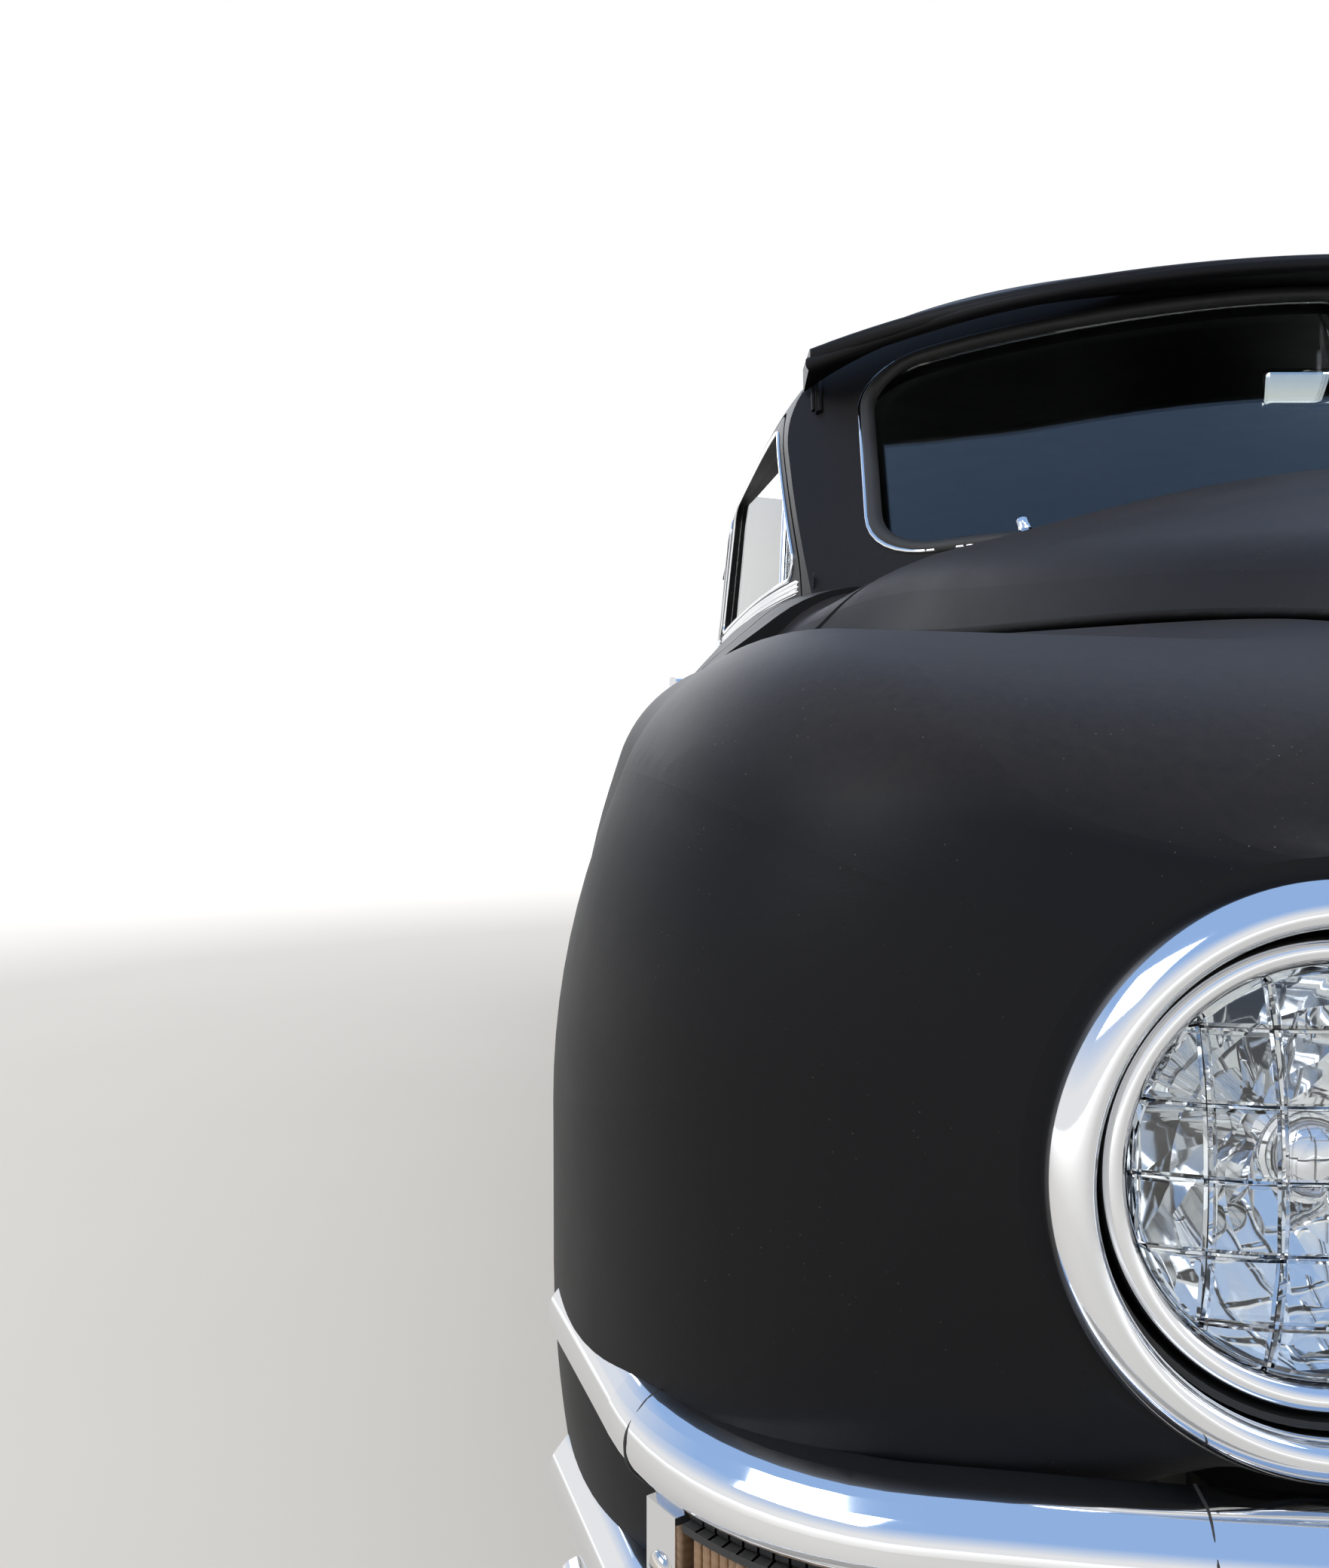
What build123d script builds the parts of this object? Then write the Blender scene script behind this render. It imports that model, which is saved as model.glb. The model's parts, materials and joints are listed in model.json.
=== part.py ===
from build123d import *
from math import atan2, cos, degrees, radians, sin, tan
import os

os.makedirs("parts", exist_ok=True)

# A two-door fastback sedan of about 1950, in millimetres.
# +Z is up, the car faces -Y, +X is its left side, and it stands on Z = 0.

# Wheels, axles and steering
TYRE_R = 355
HUB_R = 62
DRUM_R = 142
SPINDLE_R = 17
FRONT_AXLE_Y = -1690
REAR_AXLE_Y = 1300
AXLE_Z = TYRE_R
TRACK_HALF = 745
KINGPIN_X = 640
KINGPIN_R = 15
ARCH_R = 408
REAR_ARCH_R = 398
RUN_GAP = 6

# Panels and gaps
PANEL_GAP = 7
SEAT_GAP = 0.3
DOOR_WALL = 92
ROOF_WALL = 40
FENDER_WALL = 11
HOOD_WALL = 13
GLASS_T = 6

# Greenhouse and body length marks
COWL_Y = -1207
DOOR_FRONT_Y = -1126
DOOR_REAR_Y = 62
DOOR_TAPER = 12
SILL_Z = 300
TAIL_Y = 2430

# Windshield: a cylinder leaning back about an axis along its slope
SHIELD_BASE = (0, -1376, 1190)
SHIELD_LEAN = 37.3
SHIELD_R = 1180

# Lamps and front end
LAMP_X = 627
LAMP_Z = 762
LAMP_Y = -2390
LAMP_RING_R = 121
LAMP_GAP_R = 101
LAMP_LENS_R = 84
UPPER_BAR_Z = 617
LOWER_BAR_Z = 528
BUMPER_Z = 450


def corner_radii(points, shares):
    # Each corner is rounded by a share of half its shorter side.
    radii = []
    count = len(points)
    for i, share in enumerate(shares):
        before, here, after = points[i - 1], points[i], points[(i + 1) % count]
        side_in = Vector(here[0] - before[0], here[1] - before[1])
        side_out = Vector(after[0] - here[0], after[1] - here[1])
        turn = radians(side_in.get_angle(side_out))
        reach = share * 0.5 * min(side_in.length, side_out.length)
        radii.append(reach / tan(turn / 2))
    return radii


def outline_on(plane, points, shares, margin=0):
    with BuildSketch(plane) as outline:
        with BuildLine():
            FilletPolyline(*points, radius=corner_radii(points, shares), close=True)
        make_face()
        if margin:
            offset(amount=margin, kind=Kind.ARC)
    return outline.sketch


def mirrored_points(half):
    # A section is given by its left half, from the bottom to the top.
    return half + [(-x, z) for x, z in reversed(half)]


def section_at(y, points, shares):
    return outline_on(Plane.XZ.offset(-y), points, shares)


def full_section_at(y, half, half_shares):
    return section_at(y, mirrored_points(half), half_shares + half_shares[::-1])


def both_sides(half_part):
    return half_part + mirror(half_part, about=Plane.YZ)


# Lower body stations
# y, widest half, its height, crown half, crown height, belt half, belt height
BODY_ROWS = [
    (COWL_Y, 958, 760, 900, 985, 704, 1131),
    (-400, 962, 760, 903, 980, 778, 1133),
    (300, 962, 760, 900, 980, 790, 1130),
    (1000, 905, 760, 850, 975, 745, 1118),
    (1600, 810, 740, 760, 930, 650, 1050),
    (2100, 690, 660, 640, 830, 540, 900),
    (TAIL_Y, 560, 560, 520, 660, 440, 700),
]
BODY_SHARES = [0.6, 0.7, 0.8, 0.9, 0.5]


def body_half(row, inset, floor_lift, top_drop):
    y, wide, wide_z, crown, crown_z, belt, belt_z = row
    return [
        (wide - 80 - inset, SILL_Z + floor_lift),
        (wide - inset, SILL_Z + 200),
        (wide - 4 - inset, wide_z),
        (crown - inset, crown_z - top_drop),
        (belt - inset, belt_z - top_drop),
    ]


with BuildPart() as lower_form:
    loft([full_section_at(row[0], body_half(row, 0, 0, 0), BODY_SHARES) for row in BODY_ROWS])


def void_station(y):
    # The hollow runs out through the open front and stops short of the tail.
    if y == COWL_Y:
        return y - 60
    return y - 45 if y == TAIL_Y else y


with BuildPart() as lower_void:
    loft([
        full_section_at(void_station(row[0]), body_half(row, DOOR_WALL, -60, 25), BODY_SHARES)
        for row in BODY_ROWS
    ])

# Greenhouse stations
# y, base half, base height, rail half, rail height, shoulder half, top height
ROOF_ROWS = [
    (-1470, 640, 1060, 590, 1390, 400, 1480),
    (-1133, 704, 1080, 690, 1440, 470, 1558),
    (-600, 758, 1080, 724, 1490, 520, 1607),
    (100, 780, 1080, 738, 1505, 520, 1622),
    (700, 768, 1070, 712, 1460, 500, 1578),
    (1200, 712, 1030, 640, 1330, 440, 1438),
    (1700, 610, 940, 540, 1110, 380, 1210),
    (2100, 500, 800, 440, 900, 320, 990),
    (2410, 420, 620, 370, 690, 280, 735),
]
ROOF_SHARES = [0.3, 0.85, 0.95]


def roof_half(row, inset, base_drop):
    y, base, base_z, rail, rail_z, shoulder, top_z = row
    return [
        (base - inset, base_z - base_drop),
        (rail - inset, rail_z - inset * 0.5),
        (shoulder - inset * 0.5, top_z - inset),
    ]


with BuildPart() as roof_form:
    loft([full_section_at(row[0], roof_half(row, 0, 0), ROOF_SHARES) for row in ROOF_ROWS])

with BuildPart() as roof_void:
    loft([
        full_section_at(min(row[0], TAIL_Y - 60), roof_half(row, ROOF_WALL, 30), ROOF_SHARES)
        for row in ROOF_ROWS
    ])

# The windshield's own plane: x across, y up its slope, z out through the glass
shield_plane = Plane(
    origin=SHIELD_BASE,
    x_dir=(1, 0, 0),
    z_dir=(0, -cos(radians(SHIELD_LEAN)), sin(radians(SHIELD_LEAN))),
)
shield_axis_plane = Plane(
    origin=shield_plane.from_local_coords(Vector(0, -900, -SHIELD_R)),
    x_dir=(1, 0, 0),
    z_dir=shield_plane.y_dir,
)


def behind_shield(depth):
    # What lies behind the windshield's surface, as a deep drum with flat flanks.
    with BuildPart() as region:
        with BuildSketch(shield_axis_plane):
            Circle(SHIELD_R - depth)
            with Locations((0, SHIELD_R * 1.6)):
                Rectangle(2 * (SHIELD_R - depth), SHIELD_R * 3.2)
        extrude(amount=3200)
    return region.part


SHIELD_OUTLINE = [
    (-624, 113),
    (-330, 22),
    (330, 22),
    (624, 113),
    (609, 482),
    (300, 440),
    (-300, 440),
    (-609, 482),
]
SHIELD_SHARES = [0.5, 0.9, 0.9, 0.5, 0.5, 0.9, 0.9, 0.5]


def shield_prism(margin):
    face = outline_on(shield_plane.offset(-300), SHIELD_OUTLINE, SHIELD_SHARES, margin)
    with BuildPart() as prism:
        extrude(face, amount=400)
    return prism.part


# Rear fender stations: y, widest half, top height, inner half
REAR_FENDER_ROWS = [
    (520, 930, 760, 700),
    (900, 966, 900, 700),
    (1300, 968, 925, 650),
    (1800, 945, 880, 560),
    (2150, 868, 790, 480),
    (2425, 742, 660, 400),
]


def rear_fender_section(y, wide, top_z, inner):
    points = [
        (inner, SILL_Z + 30),
        (wide - 70, SILL_Z + 20),
        (wide, SILL_Z + 180),
        (wide - 6, top_z - 190),
        (wide - 70, top_z - 10),
        (inner, top_z),
    ]
    return section_at(y, points, [0.2, 0.6, 0.7, 0.8, 0.9, 0.2])


with BuildPart() as rear_bulge:
    loft([rear_fender_section(*row) for row in REAR_FENDER_ROWS])


def door_prism(outline, shares, margin):
    # A door's outline on the skin, drawing in towards the cabin.
    outer_x, inner_x = 1010, 560
    face = outline_on(Plane.YZ.offset(outer_x), outline, shares, margin)
    with BuildPart() as prism:
        extrude(face, amount=-(outer_x - inner_x), taper=DOOR_TAPER)
    return prism.part


# Door outline in side view: y, z, as it would be at the widest half
DOOR_OUTLINE = [
    (DOOR_FRONT_Y, 345),
    (DOOR_REAR_Y, 345),
    (DOOR_REAR_Y + 20, 1150),
    (30, 1535),
    (-850, 1520),
    (DOOR_FRONT_Y - 25, 1170),
]
DOOR_SHARES = [0.3, 0.3, 0.2, 0.35, 0.5, 0.4]

DOOR_WINDOW = [(-1038, 1165), (-20, 1165), (-62, 1426), (-800, 1424)]
DOOR_WINDOW_SHARES = [0.3, 0.2, 0.3, 0.4]
QUARTER_WINDOW = [(100, 1162), (640, 1150), (600, 1290), (490, 1392), (84, 1424)]
QUARTER_WINDOW_SHARES = [0.25, 0.4, 0.7, 0.7, 0.3]


def side_prism(outline, shares, margin, inner_x=560, outer_x=1010):
    face = outline_on(Plane.YZ.offset(inner_x), outline, shares, margin)
    with BuildPart() as prism:
        extrude(face, amount=outer_x - inner_x)
    return prism.part


# The rear window and the trunk lid are cut square to the sloping tail
rear_window_plane = Plane(origin=(0, 1110, 1462), x_dir=(1, 0, 0), z_dir=(0, 0.345, 0.938))
REAR_WINDOW_W = 920
REAR_WINDOW_H = 330
REAR_WINDOW_R = 110
lid_plane = Plane(origin=(0, 1960, 1010), x_dir=(1, 0, 0), z_dir=(0, 0.542, 0.84))
LID_W = 750
LID_H = 1060
LID_CORNER_R = 90
LID_HINGE = (0, 1508, 1322)


def plate_prism(plane, width, height, corner, margin, below, above):
    with BuildPart() as prism:
        with BuildSketch(plane.offset(-below)):
            RectangleRounded(width + 2 * margin, height + 2 * margin, corner + margin)
        extrude(amount=below + above)
    return prism.part


def glass_slab(origin, along_y, along_z):
    # A flat pane of side glass, leaning in towards the roof.
    plane = Plane(origin=origin, x_dir=(along_y, 1, 0), z_dir=(1, -along_y, -along_z))
    with BuildPart() as slab:
        with BuildSketch(plane):
            Rectangle(2400, 1200)
        extrude(amount=-GLASS_T)
    return slab.part


# Hinges: two knuckles with the pin on the fixed leaf, one on the moving leaf. Each frame has the pin
# along z, x out of the panel and y towards the moving leaf.
PIN_R = 3.5
KNUCKLE_R = 8
KNUCKLE_L = 18
LEAF_L = 30
LEAF_T = 6
LEAF_DEPTH = 36
DOOR_AXIS_X = 972
DOOR_AXIS_Y = -1136
DOOR_AXIS_Z = 640
DOOR_AXIS_TILT = 5
DOOR_HINGE_LEVELS = (540, 720)
DOOR_FOOT = 32
LID_SLOPE = 24.9
LID_HINGE_X = 250
LID_FOOT = 24


def fixed_leaf():
    with BuildPart() as leaf:
        Cylinder(PIN_R, 3 * KNUCKLE_L)
        with Locations((0, 0, KNUCKLE_L), (0, 0, -KNUCKLE_L)):
            Cylinder(KNUCKLE_R, KNUCKLE_L)
            with Locations((-LEAF_DEPTH / 2, -LEAF_L / 2, 0)):
                Box(LEAF_DEPTH, LEAF_L, KNUCKLE_L)
    return leaf.part


def moving_leaf(foot):
    length = KNUCKLE_L - 2 * SEAT_GAP
    with BuildPart() as leaf:
        Cylinder(KNUCKLE_R, length)
        with Locations((0, (foot + LEAF_L) / 2, 0)):
            Box(LEAF_T, foot + LEAF_L, length)
        with Locations((-LEAF_DEPTH / 2, foot + LEAF_L / 2, 0)):
            Box(LEAF_DEPTH, LEAF_L, length)
        Cylinder(PIN_R + SEAT_GAP, KNUCKLE_L, mode=Mode.SUBTRACT)
    return leaf.part


door_hinge_frames = [
    Location(
        (DOOR_AXIS_X + (DOOR_AXIS_Z - z) * tan(radians(DOOR_AXIS_TILT)), DOOR_AXIS_Y, z),
        (0, -DOOR_AXIS_TILT, 0),
    )
    for z in DOOR_HINGE_LEVELS
]
lid_hinge_frame = Plane(
    origin=(LID_HINGE_X, LID_HINGE[1], LID_HINGE[2]),
    x_dir=(0, sin(radians(LID_SLOPE)), cos(radians(LID_SLOPE))),
    z_dir=(-1, 0, 0),
).location

# Rear bumper brackets pass through slots in the tail
BRACKET_X = 310
BRACKET_Z = 398
BRACKET_W = 50
BRACKET_H = 26

# The left half of the closed shell, hollowed in two steps before its openings are cut
with BuildPart() as glasshouse:
    add(roof_form.part)
    add(behind_shield(0), mode=Mode.INTERSECT)

with BuildPart() as roof_hollow:
    add(roof_void.part)
    add(behind_shield(ROOF_WALL), mode=Mode.INTERSECT)
    split(bisect_by=Plane.YZ)

with BuildPart() as lower_hollow:
    add(lower_void.part)
    split(bisect_by=Plane.YZ)

with BuildPart() as shell_half:
    add(glasshouse.part)
    add(lower_form.part)
    split(bisect_by=Plane.YZ)
    add(rear_bulge.part)
    add(lower_hollow.part, mode=Mode.SUBTRACT)
    add(roof_hollow.part, mode=Mode.SUBTRACT)

rear_arch = Cylinder(
    REAR_ARCH_R, 500, rotation=(0, 90, 0), align=(Align.CENTER, Align.CENTER, Align.MIN)
).moved(Location((622, REAR_AXLE_Y, AXLE_Z)))

with BuildPart() as body_shell:
    add(shell_half.part)
    cutters = [
        door_prism(DOOR_OUTLINE, DOOR_SHARES, PANEL_GAP / 2),
        side_prism(QUARTER_WINDOW, QUARTER_WINDOW_SHARES, 0),
        rear_arch,
        shield_prism(0),
        plate_prism(rear_window_plane, REAR_WINDOW_W, REAR_WINDOW_H, REAR_WINDOW_R, 0, 150, 150),
        plate_prism(lid_plane, LID_W, LID_H, LID_CORNER_R, PANEL_GAP / 2, 130, 200),
    ]
    add(cutters, mode=Mode.SUBTRACT)
    add([fixed_leaf().moved(frame) for frame in door_hinge_frames + [lid_hinge_frame]])
    with Locations((BRACKET_X, TAIL_Y, BRACKET_Z)):
        Box(BRACKET_W + 2 * SEAT_GAP, 120, BRACKET_H + 2 * SEAT_GAP, mode=Mode.SUBTRACT)
    mirror(about=Plane.YZ)
body_shell.part.label = "body_shell"
export_step(body_shell.part, "parts/body_shell.step")

with BuildPart() as trunk_lid:
    add(shell_half.part)
    add(
        plate_prism(lid_plane, LID_W, LID_H, LID_CORNER_R, -PANEL_GAP / 2, 130, 200),
        mode=Mode.INTERSECT,
    )
    add(moving_leaf(LID_FOOT).moved(lid_hinge_frame))
    mirror(about=Plane.YZ)
trunk_lid.part.label = "trunk_lid"
export_step(trunk_lid.part, "parts/trunk_lid.step")

# Doors, with their windows cut and their flat glass
with BuildPart() as door_left:
    add(shell_half.part)
    add(door_prism(DOOR_OUTLINE, DOOR_SHARES, -PANEL_GAP / 2), mode=Mode.INTERSECT)
    add(side_prism(DOOR_WINDOW, DOOR_WINDOW_SHARES, 0), mode=Mode.SUBTRACT)
    add([moving_leaf(DOOR_FOOT).moved(frame) for frame in door_hinge_frames])
door_left.part.label = "door_left"
export_step(door_left.part, "parts/door_left.step")

with BuildPart() as door_right:
    mirror(door_left.part, about=Plane.YZ)
door_right.part.label = "door_right"
export_step(door_right.part, "parts/door_right.step")

with BuildPart() as door_glass_left:
    add(glass_slab((736, -400, 1165), 0.0571, -0.0843))
    add(side_prism(DOOR_WINDOW, DOOR_WINDOW_SHARES, -SEAT_GAP), mode=Mode.INTERSECT)
door_glass_left.part.label = "door_glass_left"
export_step(door_glass_left.part, "parts/door_glass_left.step")

with BuildPart() as door_glass_right:
    mirror(door_glass_left.part, about=Plane.YZ)
door_glass_right.part.label = "door_glass_right"
export_step(door_glass_right.part, "parts/door_glass_right.step")

# Pull handles stand off the door's shoulder on two stubs
HANDLE_Y = -95
HANDLE_Z = 1052
HANDLE_L = 150
HANDLE_X = 881
with BuildPart() as door_handle_left:
    with BuildSketch(Plane.XZ.offset(-(HANDLE_Y - HANDLE_L / 2))) as grip:
        with Locations((HANDLE_X, HANDLE_Z)):
            RectangleRounded(13, 20, 5)
    extrude(amount=-HANDLE_L)
    with BuildSketch(Plane.YZ.offset(800)) as stubs:
        with Locations((HANDLE_Y - 55, HANDLE_Z), (HANDLE_Y + 55, HANDLE_Z)):
            Circle(8)
    extrude(amount=HANDLE_X - 800)
    add(lower_form.part, mode=Mode.SUBTRACT)
door_handle_left.part.label = "door_handle_left"
export_step(door_handle_left.part, "parts/door_handle_left.step")

with BuildPart() as door_handle_right:
    mirror(door_handle_left.part, about=Plane.YZ)
door_handle_right.part.label = "door_handle_right"
export_step(door_handle_right.part, "parts/door_handle_right.step")

# Fixed glass
DIVIDER_W = 16
with BuildPart() as windshield:
    add(behind_shield(16))
    add(behind_shield(16 + GLASS_T), mode=Mode.SUBTRACT)
    add(shield_prism(-SEAT_GAP), mode=Mode.INTERSECT)
    with BuildSketch(shield_plane.offset(-300)):
        Rectangle(DIVIDER_W + 2 * SEAT_GAP, 1400)
    extrude(amount=400, mode=Mode.SUBTRACT)
windshield.part.label = "windshield"
export_step(windshield.part, "parts/windshield.step")

with BuildPart() as windshield_divider:
    add(behind_shield(8))
    add(behind_shield(32), mode=Mode.SUBTRACT)
    add(shield_prism(0), mode=Mode.INTERSECT)
    with BuildSketch(shield_plane.offset(-300)):
        Rectangle(DIVIDER_W, 1400)
    extrude(amount=400, mode=Mode.INTERSECT)
windshield_divider.part.label = "windshield_divider"
export_step(windshield_divider.part, "parts/windshield_divider.step")


def roof_skin(inset):
    with BuildPart() as skin:
        loft([full_section_at(row[0], roof_half(row, inset, 0), ROOF_SHARES) for row in ROOF_ROWS])
    return skin.part


with BuildPart() as rear_glass:
    add(roof_skin(14))
    split(bisect_by=Plane.YZ)
    add(
        plate_prism(
            rear_window_plane, REAR_WINDOW_W, REAR_WINDOW_H, REAR_WINDOW_R, -SEAT_GAP, 150, 150
        ),
        mode=Mode.INTERSECT,
    )
    add(roof_skin(14 + GLASS_T), mode=Mode.SUBTRACT)
    mirror(about=Plane.YZ)
    with BuildPart(mode=Mode.PRIVATE) as quarter_pane:
        add(glass_slab((756, 100, 1162), -0.0204, -0.12))
        add(side_prism(QUARTER_WINDOW, QUARTER_WINDOW_SHARES, -SEAT_GAP), mode=Mode.INTERSECT)
    add(both_sides(quarter_pane.part))
rear_glass.part.label = "rear_glass"
export_step(rear_glass.part, "parts/rear_glass.step")

# Hood and cowl top share one form, from the nose back to the windshield
# y, edge half, edge height, shoulder half, shoulder height, crown half, crown height
HOOD_ROWS = [
    (-2450, 420, 735, 395, 748, 130, 757),
    (-2425, 430, 815, 402, 838, 140, 858),
    (-2370, 440, 895, 405, 932, 140, 954),
    (-2285, 443, 960, 410, 1000, 150, 1040),
    (-2182, 447, 992, 418, 1036, 160, 1083),
    (-2060, 455, 1012, 428, 1066, 170, 1122),
    (-1840, 520, 1030, 490, 1098, 200, 1170),
    (-1540, 625, 1036, 585, 1128, 215, 1226),
    (-1290, 745, 1036, 680, 1118, 330, 1182),
    (COWL_Y - SEAT_GAP, 790, 1036, 704, 1118, 420, 1152),
]
HOOD_SHARES = [0.3, 0.8, 0.95]
HOOD_REAR_Y = -1440
HOOD_REAR_R = 1867


def hood_half(row, inset):
    y, edge, edge_z, shoulder, shoulder_z, crown, crown_z = row
    drop = 40 if inset else 0
    return [
        (edge - inset, edge_z - drop),
        (shoulder - inset * 0.6, shoulder_z - inset),
        (crown, crown_z - inset),
    ]


with BuildPart() as hood_form:
    loft([full_section_at(row[0], hood_half(row, 0), HOOD_SHARES) for row in HOOD_ROWS])
with BuildPart() as hood_void:
    loft([
        full_section_at(max(row[0], -2450 + HOOD_WALL), hood_half(row, HOOD_WALL), HOOD_SHARES)
        for row in HOOD_ROWS
    ])


# The hood swings forward on pins across the nose: its ears hang between lugs of the grille panel.
HOOD_PIN_Y = -2440
HOOD_PIN_Z = 728
HOOD_EAR_X = 300
EAR_T = 16
LUG_T = 12
LUG_R = 6.5
HOOD_EAR = [(-LUG_R, 0), (-LUG_R, 32), (LUG_R, 67), (LUG_R, 0)]
PANEL_LUG = [(0, -LUG_R + 0.5), (0, LUG_R - 0.5), (44, LUG_R - 0.5), (44, -LUG_R + 0.5)]


def hood_pin_plate(x, thick, points):
    with BuildPart() as plate:
        with BuildSketch(Plane.YZ.offset(x - thick / 2)):
            with Locations((HOOD_PIN_Y, HOOD_PIN_Z)):
                Circle(LUG_R)
            with BuildLine():
                Polyline(*[(HOOD_PIN_Y + y, HOOD_PIN_Z + z) for y, z in points], close=True)
            make_face()
        extrude(amount=thick)
    return plate.part


def hood_pin_bar(x, length, radius):
    with BuildPart() as bar:
        with Locations(Location((x, HOOD_PIN_Y, HOOD_PIN_Z), (0, 90, 0))):
            Cylinder(radius, length)
    return bar.part


def behind_hood(radius):
    with BuildPart() as region:
        with BuildSketch(Plane.XY.offset(600)):
            with Locations((0, HOOD_REAR_Y + HOOD_REAR_R)):
                Circle(radius)
        extrude(amount=800)
    return region.part


with BuildPart() as hood:
    add(hood_form.part)
    add(hood_void.part, mode=Mode.SUBTRACT)
    add(behind_hood(HOOD_REAR_R + PANEL_GAP / 2), mode=Mode.SUBTRACT)
    for x in (HOOD_EAR_X, -HOOD_EAR_X):
        add(hood_pin_plate(x, EAR_T, HOOD_EAR))
        add(hood_pin_bar(x, EAR_T, PIN_R + SEAT_GAP), mode=Mode.SUBTRACT)
hood.part.label = "hood"
export_step(hood.part, "parts/hood.step")

FIREWALL_T = 14
FIREWALL_HALF = [(480, 362), (480, 886), (784, 1042), (784, 1130)]
with BuildPart() as cowl:
    add(hood_form.part)
    add(hood_void.part, mode=Mode.SUBTRACT)
    add(behind_hood(HOOD_REAR_R - PANEL_GAP / 2), mode=Mode.INTERSECT)
    with BuildPart(mode=Mode.PRIVATE) as firewall:
        with BuildSketch(Plane.XZ.offset(-COWL_Y + SEAT_GAP)):
            with BuildLine():
                Polyline(*mirrored_points(FIREWALL_HALF), close=True)
            make_face()
        extrude(amount=FIREWALL_T)
        with BuildPart(mode=Mode.PRIVATE) as under_cowl:
            add(hood_form.part)
            with Locations((0, COWL_Y, 700)):
                Box(1700, 200, 674)
        add(under_cowl.part, mode=Mode.INTERSECT)
    add(firewall.part)
    add(glasshouse.part, mode=Mode.SUBTRACT)
cowl.part.label = "cowl"
export_step(cowl.part, "parts/cowl.step")

# Front fenders: y, then inner foot, outer foot, low side, high side, crown, valley, seam edge and ledge,
# each as x, z
POD_R = 139
POD_ANGLES = [205, 275, 330, 15, 60, 105, 150, 178]


def pod_points(radius):
    return [
        (LAMP_X + radius * cos(radians(a)), LAMP_Z + radius * sin(radians(a))) for a in POD_ANGLES
    ]


FENDER_ROWS = [
    (-2360, [(492, 600), (790, 575), (845, 650), (848, 835), (800, 925), (600, 926), (492, 905), (486, 750)]),
    (-2285, [(457, 440), (860, 420), (918, 560), (920, 830), (850, 975), (545, 966), (455, 960), (451, 800)]),
    (-2182, [(462, 350), (890, 340), (956, 540), (957, 820), (880, 1000), (545, 990), (459, 992), (455, 820)]),
    (-2060, [(462, 330), (900, 330), (966, 540), (967, 800), (890, 1010), (545, 1000), (463, 1014), (456, 840)]),
    (-1840, [(462, 330), (905, 330), (968, 540), (968, 790), (895, 1012), (600, 1004), (528, 1030), (457, 850)]),
    (-1540, [(462, 330), (905, 330), (966, 540), (966, 780), (900, 1006), (700, 1002), (633, 1036), (457, 860)]),
    (-1290, [(470, 330), (900, 330), (962, 540), (962, 770), (904, 990), (800, 1008), (753, 1036), (464, 870)]),
    (COWL_Y - SEAT_GAP, [(500, 300), (878, 300), (958, 500), (954, 760), (900, 985), (838, 1014), (798, 1036), (494, 880)]),
]
FENDER_SHARES = [0.2, 0.6, 0.8, 0.85, 0.9, 0.8, 0.1, 0.3]


def fender_points(points, wall):
    foot_in, foot_out, low, high, crown, valley, seam, ledge = points
    if not wall:
        return points
    return [
        (foot_in[0] + wall, foot_in[1] - 60),
        (foot_out[0] - wall, foot_out[1] - 60),
        (low[0] - wall, low[1]),
        (high[0] - wall, high[1] - wall * 0.3),
        (crown[0] - wall * 0.6, crown[1] - wall),
        (valley[0], valley[1] - wall),
        (seam[0] + wall * 0.4, seam[1] - wall),
        (ledge[0] + wall, ledge[1] - wall),
    ]


def fender_sections(wall):
    pod = section_at(LAMP_Y + wall, pod_points(POD_R - wall), [0.97] * len(POD_ANGLES))
    rest = []
    for y, points in FENDER_ROWS:
        y_here = y if y < COWL_Y - 1 or not wall else y + 12
        rest.append(section_at(y_here, fender_points(points, wall), FENDER_SHARES))
    return [pod] + rest


with BuildPart() as fender_form:
    loft(fender_sections(0))
with BuildPart() as fender_void:
    loft(fender_sections(FENDER_WALL))

front_arch = Cylinder(
    ARCH_R, 500, rotation=(0, 90, 0), align=(Align.CENTER, Align.CENTER, Align.MIN)
).moved(Location((570, FRONT_AXLE_Y, AXLE_Z)))
lamp_axis = Plane(origin=(LAMP_X, LAMP_Y, LAMP_Z), x_dir=(1, 0, 0), z_dir=(0, -1, 0))
BOWL_R = LAMP_GAP_R + 1.5

with BuildPart() as front_fender_left:
    add(fender_form.part)
    add(fender_void.part, mode=Mode.SUBTRACT)
    add(front_arch, mode=Mode.SUBTRACT)
    with BuildSketch(lamp_axis.offset(60)):
        Circle(BOWL_R + SEAT_GAP)
    extrude(amount=-200, mode=Mode.SUBTRACT)
    with Locations((480, FRONT_AXLE_Y, 350)):
        Box(80, 126, 300, mode=Mode.SUBTRACT)
front_fender_left.part.label = "front_fender_left"
export_step(front_fender_left.part, "parts/front_fender_left.step")

with BuildPart() as front_fender_right:
    mirror(front_fender_left.part, about=Plane.YZ)
front_fender_right.part.label = "front_fender_right"
export_step(front_fender_right.part, "parts/front_fender_right.step")


# Headlamps: bowl, chrome ring and lens, all turned about the lamp's own axis
def lamp_turned(points):
    # Points are radius and distance ahead of the fender's face.
    with BuildPart() as turned:
        with BuildSketch(Plane.YZ.offset(LAMP_X)):
            with BuildLine():
                Polyline(*[(LAMP_Y - ahead, LAMP_Z + radius) for radius, ahead in points], close=True)
            make_face()
        revolve(axis=Axis((LAMP_X, LAMP_Y, LAMP_Z), (0, 1, 0)))
    return turned.part


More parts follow.
